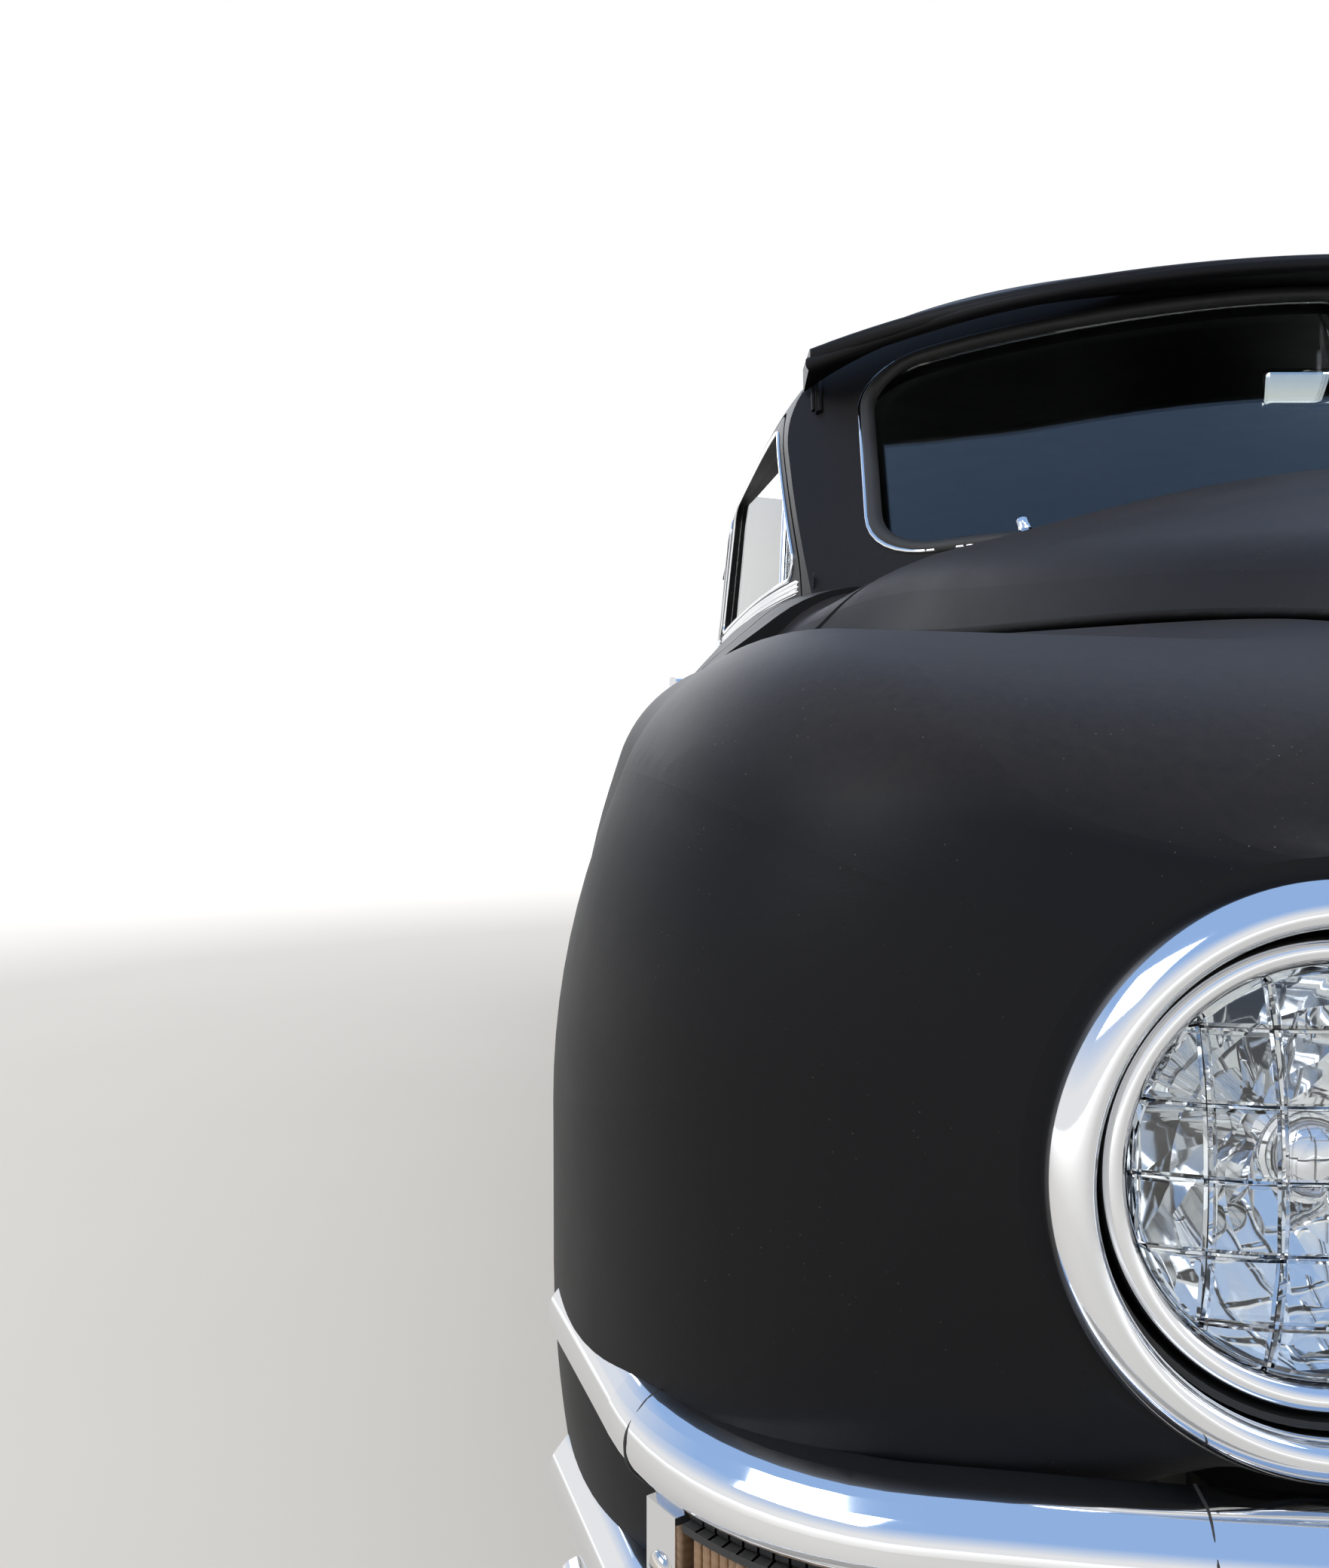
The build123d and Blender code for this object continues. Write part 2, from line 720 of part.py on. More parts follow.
LAMP_RING = [
    (LAMP_RING_R, SEAT_GAP), (LAMP_RING_R, 5), (119, 11), (115, 16), (110, 18.5), (105, 18),
    (LAMP_GAP_R + 0.5, 14), (LAMP_GAP_R, 9), (LAMP_GAP_R, SEAT_GAP),
]
LAMP_BOWL = [
    (BOWL_R, 0), (BOWL_R - 3, 0), (BOWL_R - 4, -40), (60, -85), (0.0, -95), (0.0, -99), (62, -89), (BOWL_R, -44),
]
LAMP_RETAINER = [
    (96, -6), (96, -2), (92, 3), (87, 2), (LAMP_LENS_R, -3), (LAMP_LENS_R, -8), (90, -8), (90, -38), (98.2, -38),
    (98.2, -34), (95.4, -31),
]
LAMP_LENS = [(LAMP_LENS_R - SEAT_GAP, -7), (82, -1), (70, 5), (50, 10), (25, 13), (0.0, 14), (0.0, 9), (40, 7), (80, -5)]

with BuildPart() as headlamp_rings:
    add(both_sides(lamp_turned(LAMP_RING)))
    add(both_sides(lamp_turned(LAMP_RETAINER)))
headlamp_rings.part.label = "headlamp_rings"
export_step(headlamp_rings.part, "parts/headlamp_rings.step")

with BuildPart() as headlamp_bowls:
    add(both_sides(lamp_turned(LAMP_BOWL)))
headlamp_bowls.part.label = "headlamp_bowls"
export_step(headlamp_bowls.part, "parts/headlamp_bowls.step")

with BuildPart() as headlamp_lenses:
    add(both_sides(lamp_turned(LAMP_LENS)))
headlamp_lenses.part.label = "headlamp_lenses"
export_step(headlamp_lenses.part, "parts/headlamp_lenses.step")

# The grille bars, the panel behind them and the bumpers follow lines in plan from the middle to the left
BAR_PATH = [(0, -2440), (600, -2440), (895, -2392), (962, -2180)]
BUMPER_PATH = [(0, -2540), (500, -2540), (905, -2478), (950, -2235)]


def open_radii(route):
    radii = []
    for before, here, after in zip(route, route[1:], route[2:]):
        side_in = Vector(here[0] - before[0], here[1] - before[1])
        side_out = Vector(after[0] - here[0], after[1] - here[1])
        turn = radians(side_in.get_angle(side_out))
        radii.append(0.45 * min(side_in.length, side_out.length) / tan(turn / 2))
    return radii


def bar_station(distance, height, depth):
    # A place behind the bars' face line, at a distance along it from the middle, turned to follow it.
    with BuildLine() as line:
        FilletPolyline(*[(x, y, height) for x, y in BAR_PATH], radius=open_radii(BAR_PATH))
    wire = line.wires()[0]
    place = wire.position_at(distance, position_mode=PositionMode.LENGTH)
    run = wire.tangent_at(distance, position_mode=PositionMode.LENGTH)
    inward = Vector(-run.Y, run.X, 0) * depth
    return Location(place + inward, (0, 0, degrees(atan2(run.Y, run.X))))


def swept_half(route, height, profile, shares):
    # Profile points are distance ahead of the route and height above it.
    with BuildPart() as bar:
        with BuildLine() as line:
            FilletPolyline(*[(x, y, height) for x, y in route], radius=open_radii(route))
        start = Plane(origin=(*route[0], height), x_dir=(0, -1, 0), z_dir=(1, 0, 0))
        sweep(outline_on(start, profile, shares), path=line.wires()[0])
    return bar.part


UPPER_PROFILE = [(-38, -20), (-13, -22), (0, -9), (1, 6), (-13, 22), (-38, 20)]
LOWER_PROFILE = [(-38, -20), (-13, -24), (0, -9), (1, 6), (-13, 23), (-38, 22)]
BAR_SHARES = [0.2, 0.7, 0.8, 0.8, 0.7, 0.2]
END_BLOCK_AT = 929
END_BLOCK_W = 22

with BuildPart() as grille_bars:
    add(swept_half(BAR_PATH, UPPER_BAR_Z, UPPER_PROFILE, BAR_SHARES))
    add(swept_half(BAR_PATH, LOWER_BAR_Z, LOWER_PROFILE, BAR_SHARES))
    end_block = Box(END_BLOCK_W, 14, UPPER_BAR_Z - LOWER_BAR_Z - 36, mode=Mode.PRIVATE)
    add(end_block.moved(bar_station(END_BLOCK_AT, (UPPER_BAR_Z + LOWER_BAR_Z) / 2, 12)))
    add(fender_form.part, mode=Mode.SUBTRACT)
    mirror(about=Plane.YZ)
grille_bars.part.label = "grille_bars"
export_step(grille_bars.part, "parts/grille_bars.step")

PANEL_FRONT_Y = -2401.7
PANEL_T = 12
PANEL_FLAT_X = 470
PANEL_END_X = 595
PANEL_SET_BACK = 6.2
PANEL_STAY_X = 350
PANEL_STAY = [(-2400, 500), (-2392, 520), (-2264, 357), (-2264, 345), (-2318, 345), (-2400, 440)]
with BuildPart() as grille_panel:
    with BuildSketch(Plane.XZ.offset(-PANEL_FRONT_Y)):
        with Locations((0, 549)):
            Rectangle(2 * PANEL_FLAT_X, 94)
        with Locations((0, 660)):
            Rectangle(2 * (420 - PANEL_GAP), 148)
        with Locations((0, 572)):
            RectangleRounded(1080, 36, 8, mode=Mode.SUBTRACT)
    extrude(amount=-PANEL_T)
    with BuildSketch(Plane.XZ.offset(-PANEL_FRONT_Y - PANEL_SET_BACK)):
        for side in (-1, 1):
            with Locations((side * (PANEL_FLAT_X + PANEL_END_X) / 2, 549)):
                Rectangle(PANEL_END_X - PANEL_FLAT_X + 20, 94)
        with Locations((0, 572)):
            RectangleRounded(1080, 36, 8, mode=Mode.SUBTRACT)
    extrude(amount=PANEL_SET_BACK - PANEL_T)
    lug_offset = (EAR_T + LUG_T) / 2 + SEAT_GAP
    for x in (HOOD_EAR_X, -HOOD_EAR_X):
        add(hood_pin_plate(x - lug_offset, LUG_T, PANEL_LUG))
        add(hood_pin_plate(x + lug_offset, LUG_T, PANEL_LUG))
        add(hood_pin_bar(x, 2 * lug_offset + LUG_T, PIN_R))
    for x in (PANEL_STAY_X, -PANEL_STAY_X):
        with BuildSketch(Plane.YZ.offset(x - 3)):
            with BuildLine():
                Polyline(*PANEL_STAY, close=True)
            make_face()
        extrude(amount=6)
grille_panel.part.label = "grille_panel"
export_step(grille_panel.part, "parts/grille_panel.step")

# Fluted parking lamps fill the ends of the slot between the bars
FLUTE_PITCH = 5.5
FLUTE_RISE = 2.2
FLUTE_FIRST = 698
FLUTE_COUNT = 34
LENS_FACE = 10
LENS_BACK = 20
LENS_LOW = LOWER_BAR_Z + 24.3
LENS_HIGH = UPPER_BAR_Z - 23.3


def lens_point(flutes, depth):
    spot = bar_station(FLUTE_FIRST + flutes * FLUTE_PITCH, LENS_LOW, depth).position
    return spot.X, spot.Y


with BuildPart() as parking_lamps:
    with BuildSketch(Plane.XY.offset(LENS_LOW)) as fluted:
        with BuildLine():
            for i in range(FLUTE_COUNT):
                ThreePointArc(
                    lens_point(i, LENS_FACE),
                    lens_point(i + 0.5, LENS_FACE - FLUTE_RISE),
                    lens_point(i + 1, LENS_FACE),
                )
            Polyline(
                lens_point(FLUTE_COUNT, LENS_FACE),
                *[lens_point(i, LENS_BACK) for i in range(FLUTE_COUNT, -1, -2)],
                lens_point(0, LENS_FACE),
            )
        make_face()
    extrude(amount=LENS_HIGH - LENS_LOW)
    mirror(about=Plane.YZ)
parking_lamps.part.label = "parking_lamps"
export_step(parking_lamps.part, "parts/parking_lamps.step")

# Bumpers: one swept blade each, on brackets from the frame rails
BLADE_PROFILE = [(-9, -66), (0, -62), (14, -30), (14, 30), (0, 62), (-9, 66), (-4, 30), (-4, -30)]
BLADE_SHARES = [0.6, 0.6, 0.8, 0.8, 0.6, 0.6, 0.8, 0.8]
RAIL_X = 410
RAIL_W = 60
RAIL_TOP = 344.7
RAIL_H = 95
with BuildPart() as front_bumper:
    add(both_sides(swept_half(BUMPER_PATH, BUMPER_Z, BLADE_PROFILE, BLADE_SHARES)))
    with Locations((RAIL_X, -2420, 400), (-RAIL_X, -2420, 400)):
        Box(50, 222, 26)
    with Locations((RAIL_X, -2330, 366), (-RAIL_X, -2330, 366)):
        Box(50, 42, 42)
front_bumper.part.label = "front_bumper"
export_step(front_bumper.part, "parts/front_bumper.step")

with BuildPart() as rear_bumper:
    add(mirror(swept_half(BUMPER_PATH, BUMPER_Z, BLADE_PROFILE, BLADE_SHARES), about=Plane.XZ, mode=Mode.PRIVATE))
    mirror(about=Plane.YZ)
    with Locations((BRACKET_X, 2405, BRACKET_Z), (-BRACKET_X, 2405, BRACKET_Z)):
        Box(BRACKET_W, 270, BRACKET_H)
rear_bumper.part.label = "rear_bumper"
export_step(rear_bumper.part, "parts/rear_bumper.step")

# Chassis frame: two rails that kick up over the rear axle, with cross members
KICK_Z = 170
GEARBOX_W = 220
GEARBOX_L = 579
GEARBOX_H = 130
GEARBOX_Z = 265
SHAFT_R = 30
SHAFT_L = 1905
shaft_at = Location((0, 242, 292), (-88.6, 0, 0))
RAIL_LINE = [(-2350, 0), (-1980, 0), (950, 0), (1120, KICK_Z), (1480, KICK_Z), (1650, 40), (2325, 40)]
JACK_Y = (-1000, 400)
JACK_T = 6
with BuildPart() as chassis_frame:
    upper = [(y, RAIL_TOP + lift) for y, lift in RAIL_LINE if y != -1980]
    lower = [(y, RAIL_TOP + lift - RAIL_H) for y, lift in RAIL_LINE if y != -1980]
    with BuildSketch(Plane.YZ.offset(RAIL_X - RAIL_W / 2)) as rail:
        with BuildLine():
            Polyline(*upper, *reversed(lower), close=True)
        make_face()
    extrude(amount=RAIL_W)
    mirror(about=Plane.YZ)
    for y, lift in ((-2290, 0), (-1180, 0), (-300, 0), (600, 0), (1900, 40), (2290, 40)):
        with Locations((0, y, RAIL_TOP + lift - RAIL_H / 2)):
            Box(2 * RAIL_X - RAIL_W, 60, RAIL_H)
    with Locations(*[(side * RAIL_X, y, RAIL_TOP - RAIL_H) for side in (-1, 1) for y in JACK_Y]):
        Box(RAIL_W - 10, 80, 2 * JACK_T)
    with Locations((0, -1000, GEARBOX_Z)):
        Box(GEARBOX_W + 2 * SEAT_GAP, GEARBOX_L + 40, GEARBOX_H + 2 * SEAT_GAP, mode=Mode.SUBTRACT)
    with Locations(shaft_at):
        Cylinder(SHAFT_R + 8, SHAFT_L, mode=Mode.SUBTRACT)
chassis_frame.part.label = "chassis_frame"
export_step(chassis_frame.part, "parts/chassis_frame.step")

FLOOR_Z = RAIL_TOP + SEAT_GAP
FLOOR_T = 14
REAR_FLOOR_Z = 590
HEEL_Y = 800
HOUSE_X = 610
FLOOR_PROFILE = [
    (COWL_Y - 0.3, FLOOR_Z),
    (HEEL_Y + FLOOR_T, FLOOR_Z),
    (HEEL_Y + FLOOR_T, REAR_FLOOR_Z - FLOOR_T),
    (2384, REAR_FLOOR_Z - FLOOR_T),
    (2384, REAR_FLOOR_Z),
    (HEEL_Y, REAR_FLOOR_Z),
    (HEEL_Y, FLOOR_Z + FLOOR_T),
    (COWL_Y - 0.3, FLOOR_Z + FLOOR_T),
]
SEAT_RISER_H = 90
with BuildPart() as floor_pan:
    with BuildSketch(Plane.YZ.offset(-900)):
        with BuildLine():
            Polyline(*FLOOR_PROFILE, close=True)
        make_face()
    extrude(amount=1800)
    for side in (-1, 1):
        with Locations(Location((side * (HOUSE_X + 250), REAR_AXLE_Y, AXLE_Z), (0, 90, 0))):
            Cylinder(REAR_ARCH_R + 12, 524)
    with Locations((0, REAR_AXLE_Y, 200)):
        Box(2200, 1200, 2 * (FLOOR_Z - 200), mode=Mode.SUBTRACT)
    add(lower_void.part, mode=Mode.INTERSECT)
    for side in (-1, 1):
        with Locations(Location((side * (HOUSE_X + 250), REAR_AXLE_Y, AXLE_Z), (0, 90, 0))):
            Cylinder(REAR_ARCH_R, 500, mode=Mode.SUBTRACT)
    with Locations((0, REAR_AXLE_Y, FLOOR_Z)):
        Box(2200, 130, 200, mode=Mode.SUBTRACT)
    with Locations((0, -330, FLOOR_Z + FLOOR_T + SEAT_RISER_H / 2)):
        Box(1160, 430, SEAT_RISER_H)
floor_pan.part.label = "floor_pan"
export_step(floor_pan.part, "parts/floor_pan.step")

# Under the hood and under the floor
with BuildPart() as engine_block:
    with BuildSketch(Plane.XZ.offset(2050)):
        with BuildLine():
            Polyline((-150, 262), (150, 262), (290, 560), (290, 720), (120, 900), (-120, 900), (-290, 720),
                     (-290, 560), close=True)
        make_face()
    extrude(amount=-760)
    with Locations((300, -1700, 420), (-300, -1700, 420)):
        Box(160, 60, 2 * (420 - RAIL_TOP - SEAT_GAP))
engine_block.part.label = "engine_block"
export_step(engine_block.part, "parts/engine_block.step")

with BuildPart() as radiator:
    with Locations((0, -2260, 625)):
        Box(640, 70, 2 * (625 - RAIL_TOP - SEAT_GAP))
    fillet(radiator.edges().filter_by(Axis.Y), 18)
radiator.part.label = "radiator"
export_step(radiator.part, "parts/radiator.step")

DIFF_R = 125
with BuildPart() as driveline:
    with Locations((0, -1000, GEARBOX_Z)):
        Box(GEARBOX_W, GEARBOX_L, GEARBOX_H)
    with Locations(shaft_at):
        Cylinder(SHAFT_R, SHAFT_L)
    with Locations((0, REAR_AXLE_Y, AXLE_Z)):
        Box(900, 1000, 1000, mode=Mode.SUBTRACT)
driveline.part.label = "driveline"
export_step(driveline.part, "parts/driveline.step")

TUBE_R = 38
HUB_IN = 60
HANGER_LOW = 290
HANGER_H = RAIL_TOP - HANGER_LOW
HANGER_Z = HANGER_LOW + HANGER_H / 2
rear_axle_at = Location((0, REAR_AXLE_Y, AXLE_Z))
AXLE_TUBE_HALF = TRACK_HALF - HUB_IN - RUN_GAP
LEAF_Z = AXLE_Z - TUBE_R - 14
with BuildPart() as rear_axle:
    with Locations(rear_axle_at):
        Sphere(DIFF_R)
        Cylinder(TUBE_R, 2 * AXLE_TUBE_HALF, rotation=(0, 90, 0))
        Cylinder(SPINDLE_R, 2 * (TRACK_HALF + 42), rotation=(0, 90, 0))
        with Locations((0, -150, 0)):
            Cylinder(50, 120, rotation=(90, 0, 0))
    for side in (-1, 1):
        with Locations((side * 520, REAR_AXLE_Y, LEAF_Z)):
            Box(56, 1160, 24)
            with Locations((0, 0, 22)):
                Box(70, 110, 50)
        with Locations((side * 480, REAR_AXLE_Y - 555, HANGER_Z), (side * 480, REAR_AXLE_Y + 555, HANGER_Z)):
            Box(80 - 2 * SEAT_GAP, 50, HANGER_H)
rear_axle.part.label = "rear_axle"
export_step(rear_axle.part, "parts/rear_axle.step")

# Front suspension: a cross member with towers, and two arms a side that end in eyes round the kingpin
EYE_R = 26
ARM_Z = (236, 464)
ARM_T = 20
TOWER_IN = RAIL_X + RAIL_W / 2
with BuildPart() as front_suspension:
    with Locations((0, FRONT_AXLE_Y, 219)):
        Box(2 * (TOWER_IN + 26), 120, 2 * (RAIL_TOP - RAIL_H - 219) - 2 * SEAT_GAP)
    for side in (-1, 1):
        with Locations((side * (TOWER_IN + 13 + SEAT_GAP), FRONT_AXLE_Y, 335)):
            Box(26 - 2 * SEAT_GAP, 110, 290)
        for z in ARM_Z:
            with BuildSketch(Plane.XY.offset(z - ARM_T / 2)):
                with BuildLine():
                    Polyline(
                        (side * (TOWER_IN + 20), FRONT_AXLE_Y - 52),
                        (side * KINGPIN_X, FRONT_AXLE_Y - EYE_R + 6),
                        (side * KINGPIN_X, FRONT_AXLE_Y + EYE_R - 6),
                        (side * (TOWER_IN + 20), FRONT_AXLE_Y + 52),
                        close=True,
                    )
                make_face()
                with Locations((side * KINGPIN_X, FRONT_AXLE_Y)):
                    Circle(EYE_R)
                    Circle(KINGPIN_R + 0.05, mode=Mode.SUBTRACT)
            extrude(amount=ARM_T)
front_suspension.part.label = "front_suspension"
export_step(front_suspension.part, "parts/front_suspension.step")

# Knuckles: kingpin, upright, stub axle and brake backing plate, in one forging
BACKING_X = 672
with BuildPart() as knuckle_left:
    with Locations((KINGPIN_X, FRONT_AXLE_Y, (ARM_Z[0] + ARM_Z[1]) / 2)):
        Cylinder(KINGPIN_R, ARM_Z[1] - ARM_Z[0] + ARM_T + 12)
        Cylinder(24, ARM_Z[1] - ARM_Z[0] - ARM_T - 2)
    with Locations((KINGPIN_X, FRONT_AXLE_Y, AXLE_Z)):
        with Locations(Location((0, 0, 0), (0, 90, 0))):
            Cylinder(30, BACKING_X - KINGPIN_X + 4, align=(Align.CENTER, Align.CENTER, Align.MIN))
            Cylinder(
                SPINDLE_R, TRACK_HALF + 42 - KINGPIN_X, align=(Align.CENTER, Align.CENTER, Align.MIN)
            )
    with Locations(Location((BACKING_X, FRONT_AXLE_Y, AXLE_Z), (0, 90, 0))):
        Cylinder(DRUM_R - 4, 4)
knuckle_left.part.label = "knuckle_left"
export_step(knuckle_left.part, "parts/knuckle_left.step")

with BuildPart() as knuckle_right:
    mirror(knuckle_left.part, about=Plane.YZ)
knuckle_right.part.label = "knuckle_right"
export_step(knuckle_right.part, "parts/knuckle_right.step")

# Wheels and tyres: profiles are distance outboard of the wheel's centre and radius
WHEEL_SHAPES = [
    [(-HUB_IN, SPINDLE_R + 0.05), (44, SPINDLE_R + 0.05), (44, 38), (20, HUB_R), (-HUB_IN, 46)],
    [(8, 44), (20, 44), (24, 100), (30, 150), (24, 176), (14, 176), (20, 150), (13, 100)],
    [(-72, 205), (-66, 206), (-60, 184), (-40, 179), (40, 179), (60, 184), (66, 206), (72, 205),
     (64, 176), (40, 171), (-40, 171), (-64, 176)],
    [(-56, DRUM_R - 8), (-56, DRUM_R), (18, DRUM_R), (25, 118), (15, 108), (6, DRUM_R - 8)],
    [(24, 110), (30, 124), (46, 122), (66, 104), (77, 60), (80, 0.0), (76, 0.0), (72, 60), (60, 98),
     (42, 114), (32, 112)],
]
TYRE_PROFILE = [
    (-62, 180), (-72, 210), (-84, 262), (-85, 282), (-76, 326), (-64, 347), (-40, 354), (0, TYRE_R),
    (40, 354), (64, 347), (76, 326), (85, 282), (84, 262), (72, 210), (62, 180),
]


def wheel_turned(shapes, centre):
    side = 1 if centre.X > 0 else -1
    with BuildPart() as turned:
        with BuildSketch(Plane.XZ.offset(-centre.Y)):
            for points in shapes:
                with BuildLine():
                    Polyline(*[(centre.X + side * x, centre.Z + r) for x, r in points], close=True)
                make_face()
        revolve(axis=Axis(centre, (1, 0, 0)))
    return turned.part


WHEELS = {
    "front_left": Vector(TRACK_HALF, FRONT_AXLE_Y, AXLE_Z),
    "front_right": Vector(-TRACK_HALF, FRONT_AXLE_Y, AXLE_Z),
    "rear_left": Vector(TRACK_HALF, REAR_AXLE_Y, AXLE_Z),
    "rear_right": Vector(-TRACK_HALF, REAR_AXLE_Y, AXLE_Z),
}
for corner, centre in WHEELS.items():
    with BuildPart() as wheel:
        add(wheel_turned(WHEEL_SHAPES, centre))
    wheel.part.label = "wheel_" + corner
    export_step(wheel.part, "parts/wheel_" + corner + ".step")
    with BuildPart() as tyre:
        add(wheel_turned([TYRE_PROFILE], centre))
        add(wheel.part, mode=Mode.SUBTRACT)
    tyre.part.label = "tyre_" + corner
    export_step(tyre.part, "parts/tyre_" + corner + ".step")

# Cabin: seats, dashboard, steering
CABIN_FLOOR = FLOOR_Z + FLOOR_T
CUSHION_Z = CABIN_FLOOR + SEAT_RISER_H + SEAT_GAP


def seat_face(points):
    return outline_on(Plane.YZ.offset(-620), points, [0.4] * len(points))


FRONT_SEAT = [
    (-580, CUSHION_Z), (-60, CUSHION_Z), (90, 990), (30, 1010), (-90, 600), (-590, CUSHION_Z + 150),
]
REAR_SEAT = [
    (560, CUSHION_Z - 60), (798, CUSHION_Z - 60), (798, REAR_FLOOR_Z + 0.3), (1000, REAR_FLOOR_Z + 0.3),
    (1120, 1000), (1060, 1020), (880, 690), (550, 600),
]
with BuildPart() as front_seat:
    extrude(seat_face(FRONT_SEAT), amount=1240)
front_seat.part.label = "front_seat"
export_step(front_seat.part, "parts/front_seat.step")

with BuildPart() as rear_seat:
    with BuildSketch(Plane.YZ.offset(-585)):
        with BuildLine():
            Polyline(*REAR_SEAT, close=True)
        make_face()
    extrude(amount=1170)
rear_seat.part.label = "rear_seat"
export_step(rear_seat.part, "parts/rear_seat.step")

COLUMN_X = 370
COLUMN_LOW = Vector(COLUMN_X, -1150, 790)
COLUMN_HIGH = Vector(COLUMN_X, -790, 985)
COLUMN_R = 22
WHEEL_HUB_L = 34
column_dir = (COLUMN_HIGH - COLUMN_LOW).normalized()
column_plane = Plane(origin=COLUMN_LOW, x_dir=(1, 0, 0), z_dir=column_dir)
column_length = (COLUMN_HIGH - COLUMN_LOW).length
with BuildPart() as dashboard:
    with BuildSketch(Plane.YZ.offset(-600)):
        with BuildLine():
            FilletPolyline(
                (COWL_Y - SEAT_GAP + 0.6, 1075), (-1045, 1070), (-1010, 1030), (-1035, 880),
                (COWL_Y - SEAT_GAP + 0.6, 800), radius=[0.1, 30, 24, 20, 0.1], close=True,
            )
        make_face()
    extrude(amount=1200)
    with BuildSketch(column_plane.offset(-300)):
        Circle(COLUMN_R + SEAT_GAP)
    extrude(amount=900, mode=Mode.SUBTRACT)
dashboard.part.label = "dashboard"
export_step(dashboard.part, "parts/dashboard.step")

with BuildPart() as steering_column:
    with BuildSketch(column_plane.offset(-64)):
        Circle(COLUMN_R)
    extrude(amount=64 + column_length)
    with BuildSketch(column_plane.offset(column_length)):
        Circle(9)
    extrude(amount=WHEEL_HUB_L + 4)
    with Locations((0, -1400, 900)):
        Box(1000, 386, 600, mode=Mode.SUBTRACT)
steering_column.part.label = "steering_column"
export_step(steering_column.part, "parts/steering_column.step")

STEER_R = 205
STEER_GRIP_R = 11
with BuildPart() as steering_wheel:
    hub_plane = column_plane.offset(column_length + RUN_GAP)
    with BuildSketch(hub_plane):
        Circle(34)
        Circle(9.05, mode=Mode.SUBTRACT)
    extrude(amount=WHEEL_HUB_L - RUN_GAP)
    with BuildSketch(hub_plane.offset(8)):
        for angle in (90, 210, 330):
            with Locations(Location((0, 0, 0), (0, 0, angle))):
                with Locations((STEER_R / 2 + 14, 0)):
                    Rectangle(STEER_R - 28, 18)
    extrude(amount=10)
    rim_plane = Plane(origin=hub_plane.offset(12).origin, x_dir=hub_plane.x_dir, z_dir=hub_plane.y_dir)
    with BuildSketch(rim_plane):
        with Locations((STEER_R, 0)):
            Circle(STEER_GRIP_R)
    revolve(axis=Axis(hub_plane.origin, hub_plane.z_dir))
steering_wheel.part.label = "steering_wheel"
export_step(steering_wheel.part, "parts/steering_wheel.step")

# The visor over the windshield: stations across the car, each as rear and front edges in side view
VISOR_ROWS = [
    (0, [(-1085, 1552), (-1222, 1528), (-1224, 1550), (-1080, 1586)]),
    (400, [(-1035, 1540), (-1165, 1508), (-1168, 1530), (-1030, 1572)]),
    (690, [(-900, 1455), (-994, 1474), (-998, 1496), (-895, 1492)]),
]
with BuildPart() as sun_visor:
    stations = [(-x, points) for x, points in reversed(VISOR_ROWS[1:])] + VISOR_ROWS
    loft([outline_on(Plane.YZ.offset(x), points, [0.1, 0.9, 0.9, 0.1]) for x, points in stations])
    add(glasshouse.part, mode=Mode.SUBTRACT)
sun_visor.part.label = "sun_visor"
export_step(sun_visor.part, "parts/sun_visor.step")

# Tail lamps on the ends of the rear fenders, exhaust and fuel tank
with BuildPart() as tail_lamps:
    with Locations((640, TAIL_Y - 5, 590), (-640, TAIL_Y - 5, 590)):
        Cylinder(48, 70, rotation=(90, 0, 0))
    add(both_sides(rear_bulge.part), mode=Mode.SUBTRACT)
tail_lamps.part.label = "tail_lamps"
export_step(tail_lamps.part, "parts/tail_lamps.step")

PIPE_R = 24
PIPE_Z = 218
with BuildPart() as exhaust:
    with Locations((-250, 570, PIPE_Z)):
        Cylinder(PIPE_R, 3740, rotation=(90, 0, 0))
    with Locations((-250, 250, PIPE_Z)):
        Cylinder(56, 560, rotation=(90, 0, 0))
    for y, lift in ((-1180, 0), (600, 0), (1900, 40), (2290, 40)):
        top = RAIL_TOP + lift - RAIL_H - SEAT_GAP
        with Locations((-250, y, (top + PIPE_Z) / 2)):
            Box(30, 24, top - PIPE_Z)
exhaust.part.label = "exhaust"
export_step(exhaust.part, "parts/exhaust.step")

with BuildPart() as fuel_tank:
    with Locations((0, 2095, 470)):
        Box(660, 300, 2 * (REAR_FLOOR_Z - FLOOR_T - SEAT_GAP - 470))
    fillet(fuel_tank.edges().filter_by(Axis.X), 40)
fuel_tank.part.label = "fuel_tank"
export_step(fuel_tank.part, "parts/fuel_tank.step")
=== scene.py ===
import json
from math import atan2, cos, pi, radians, sin

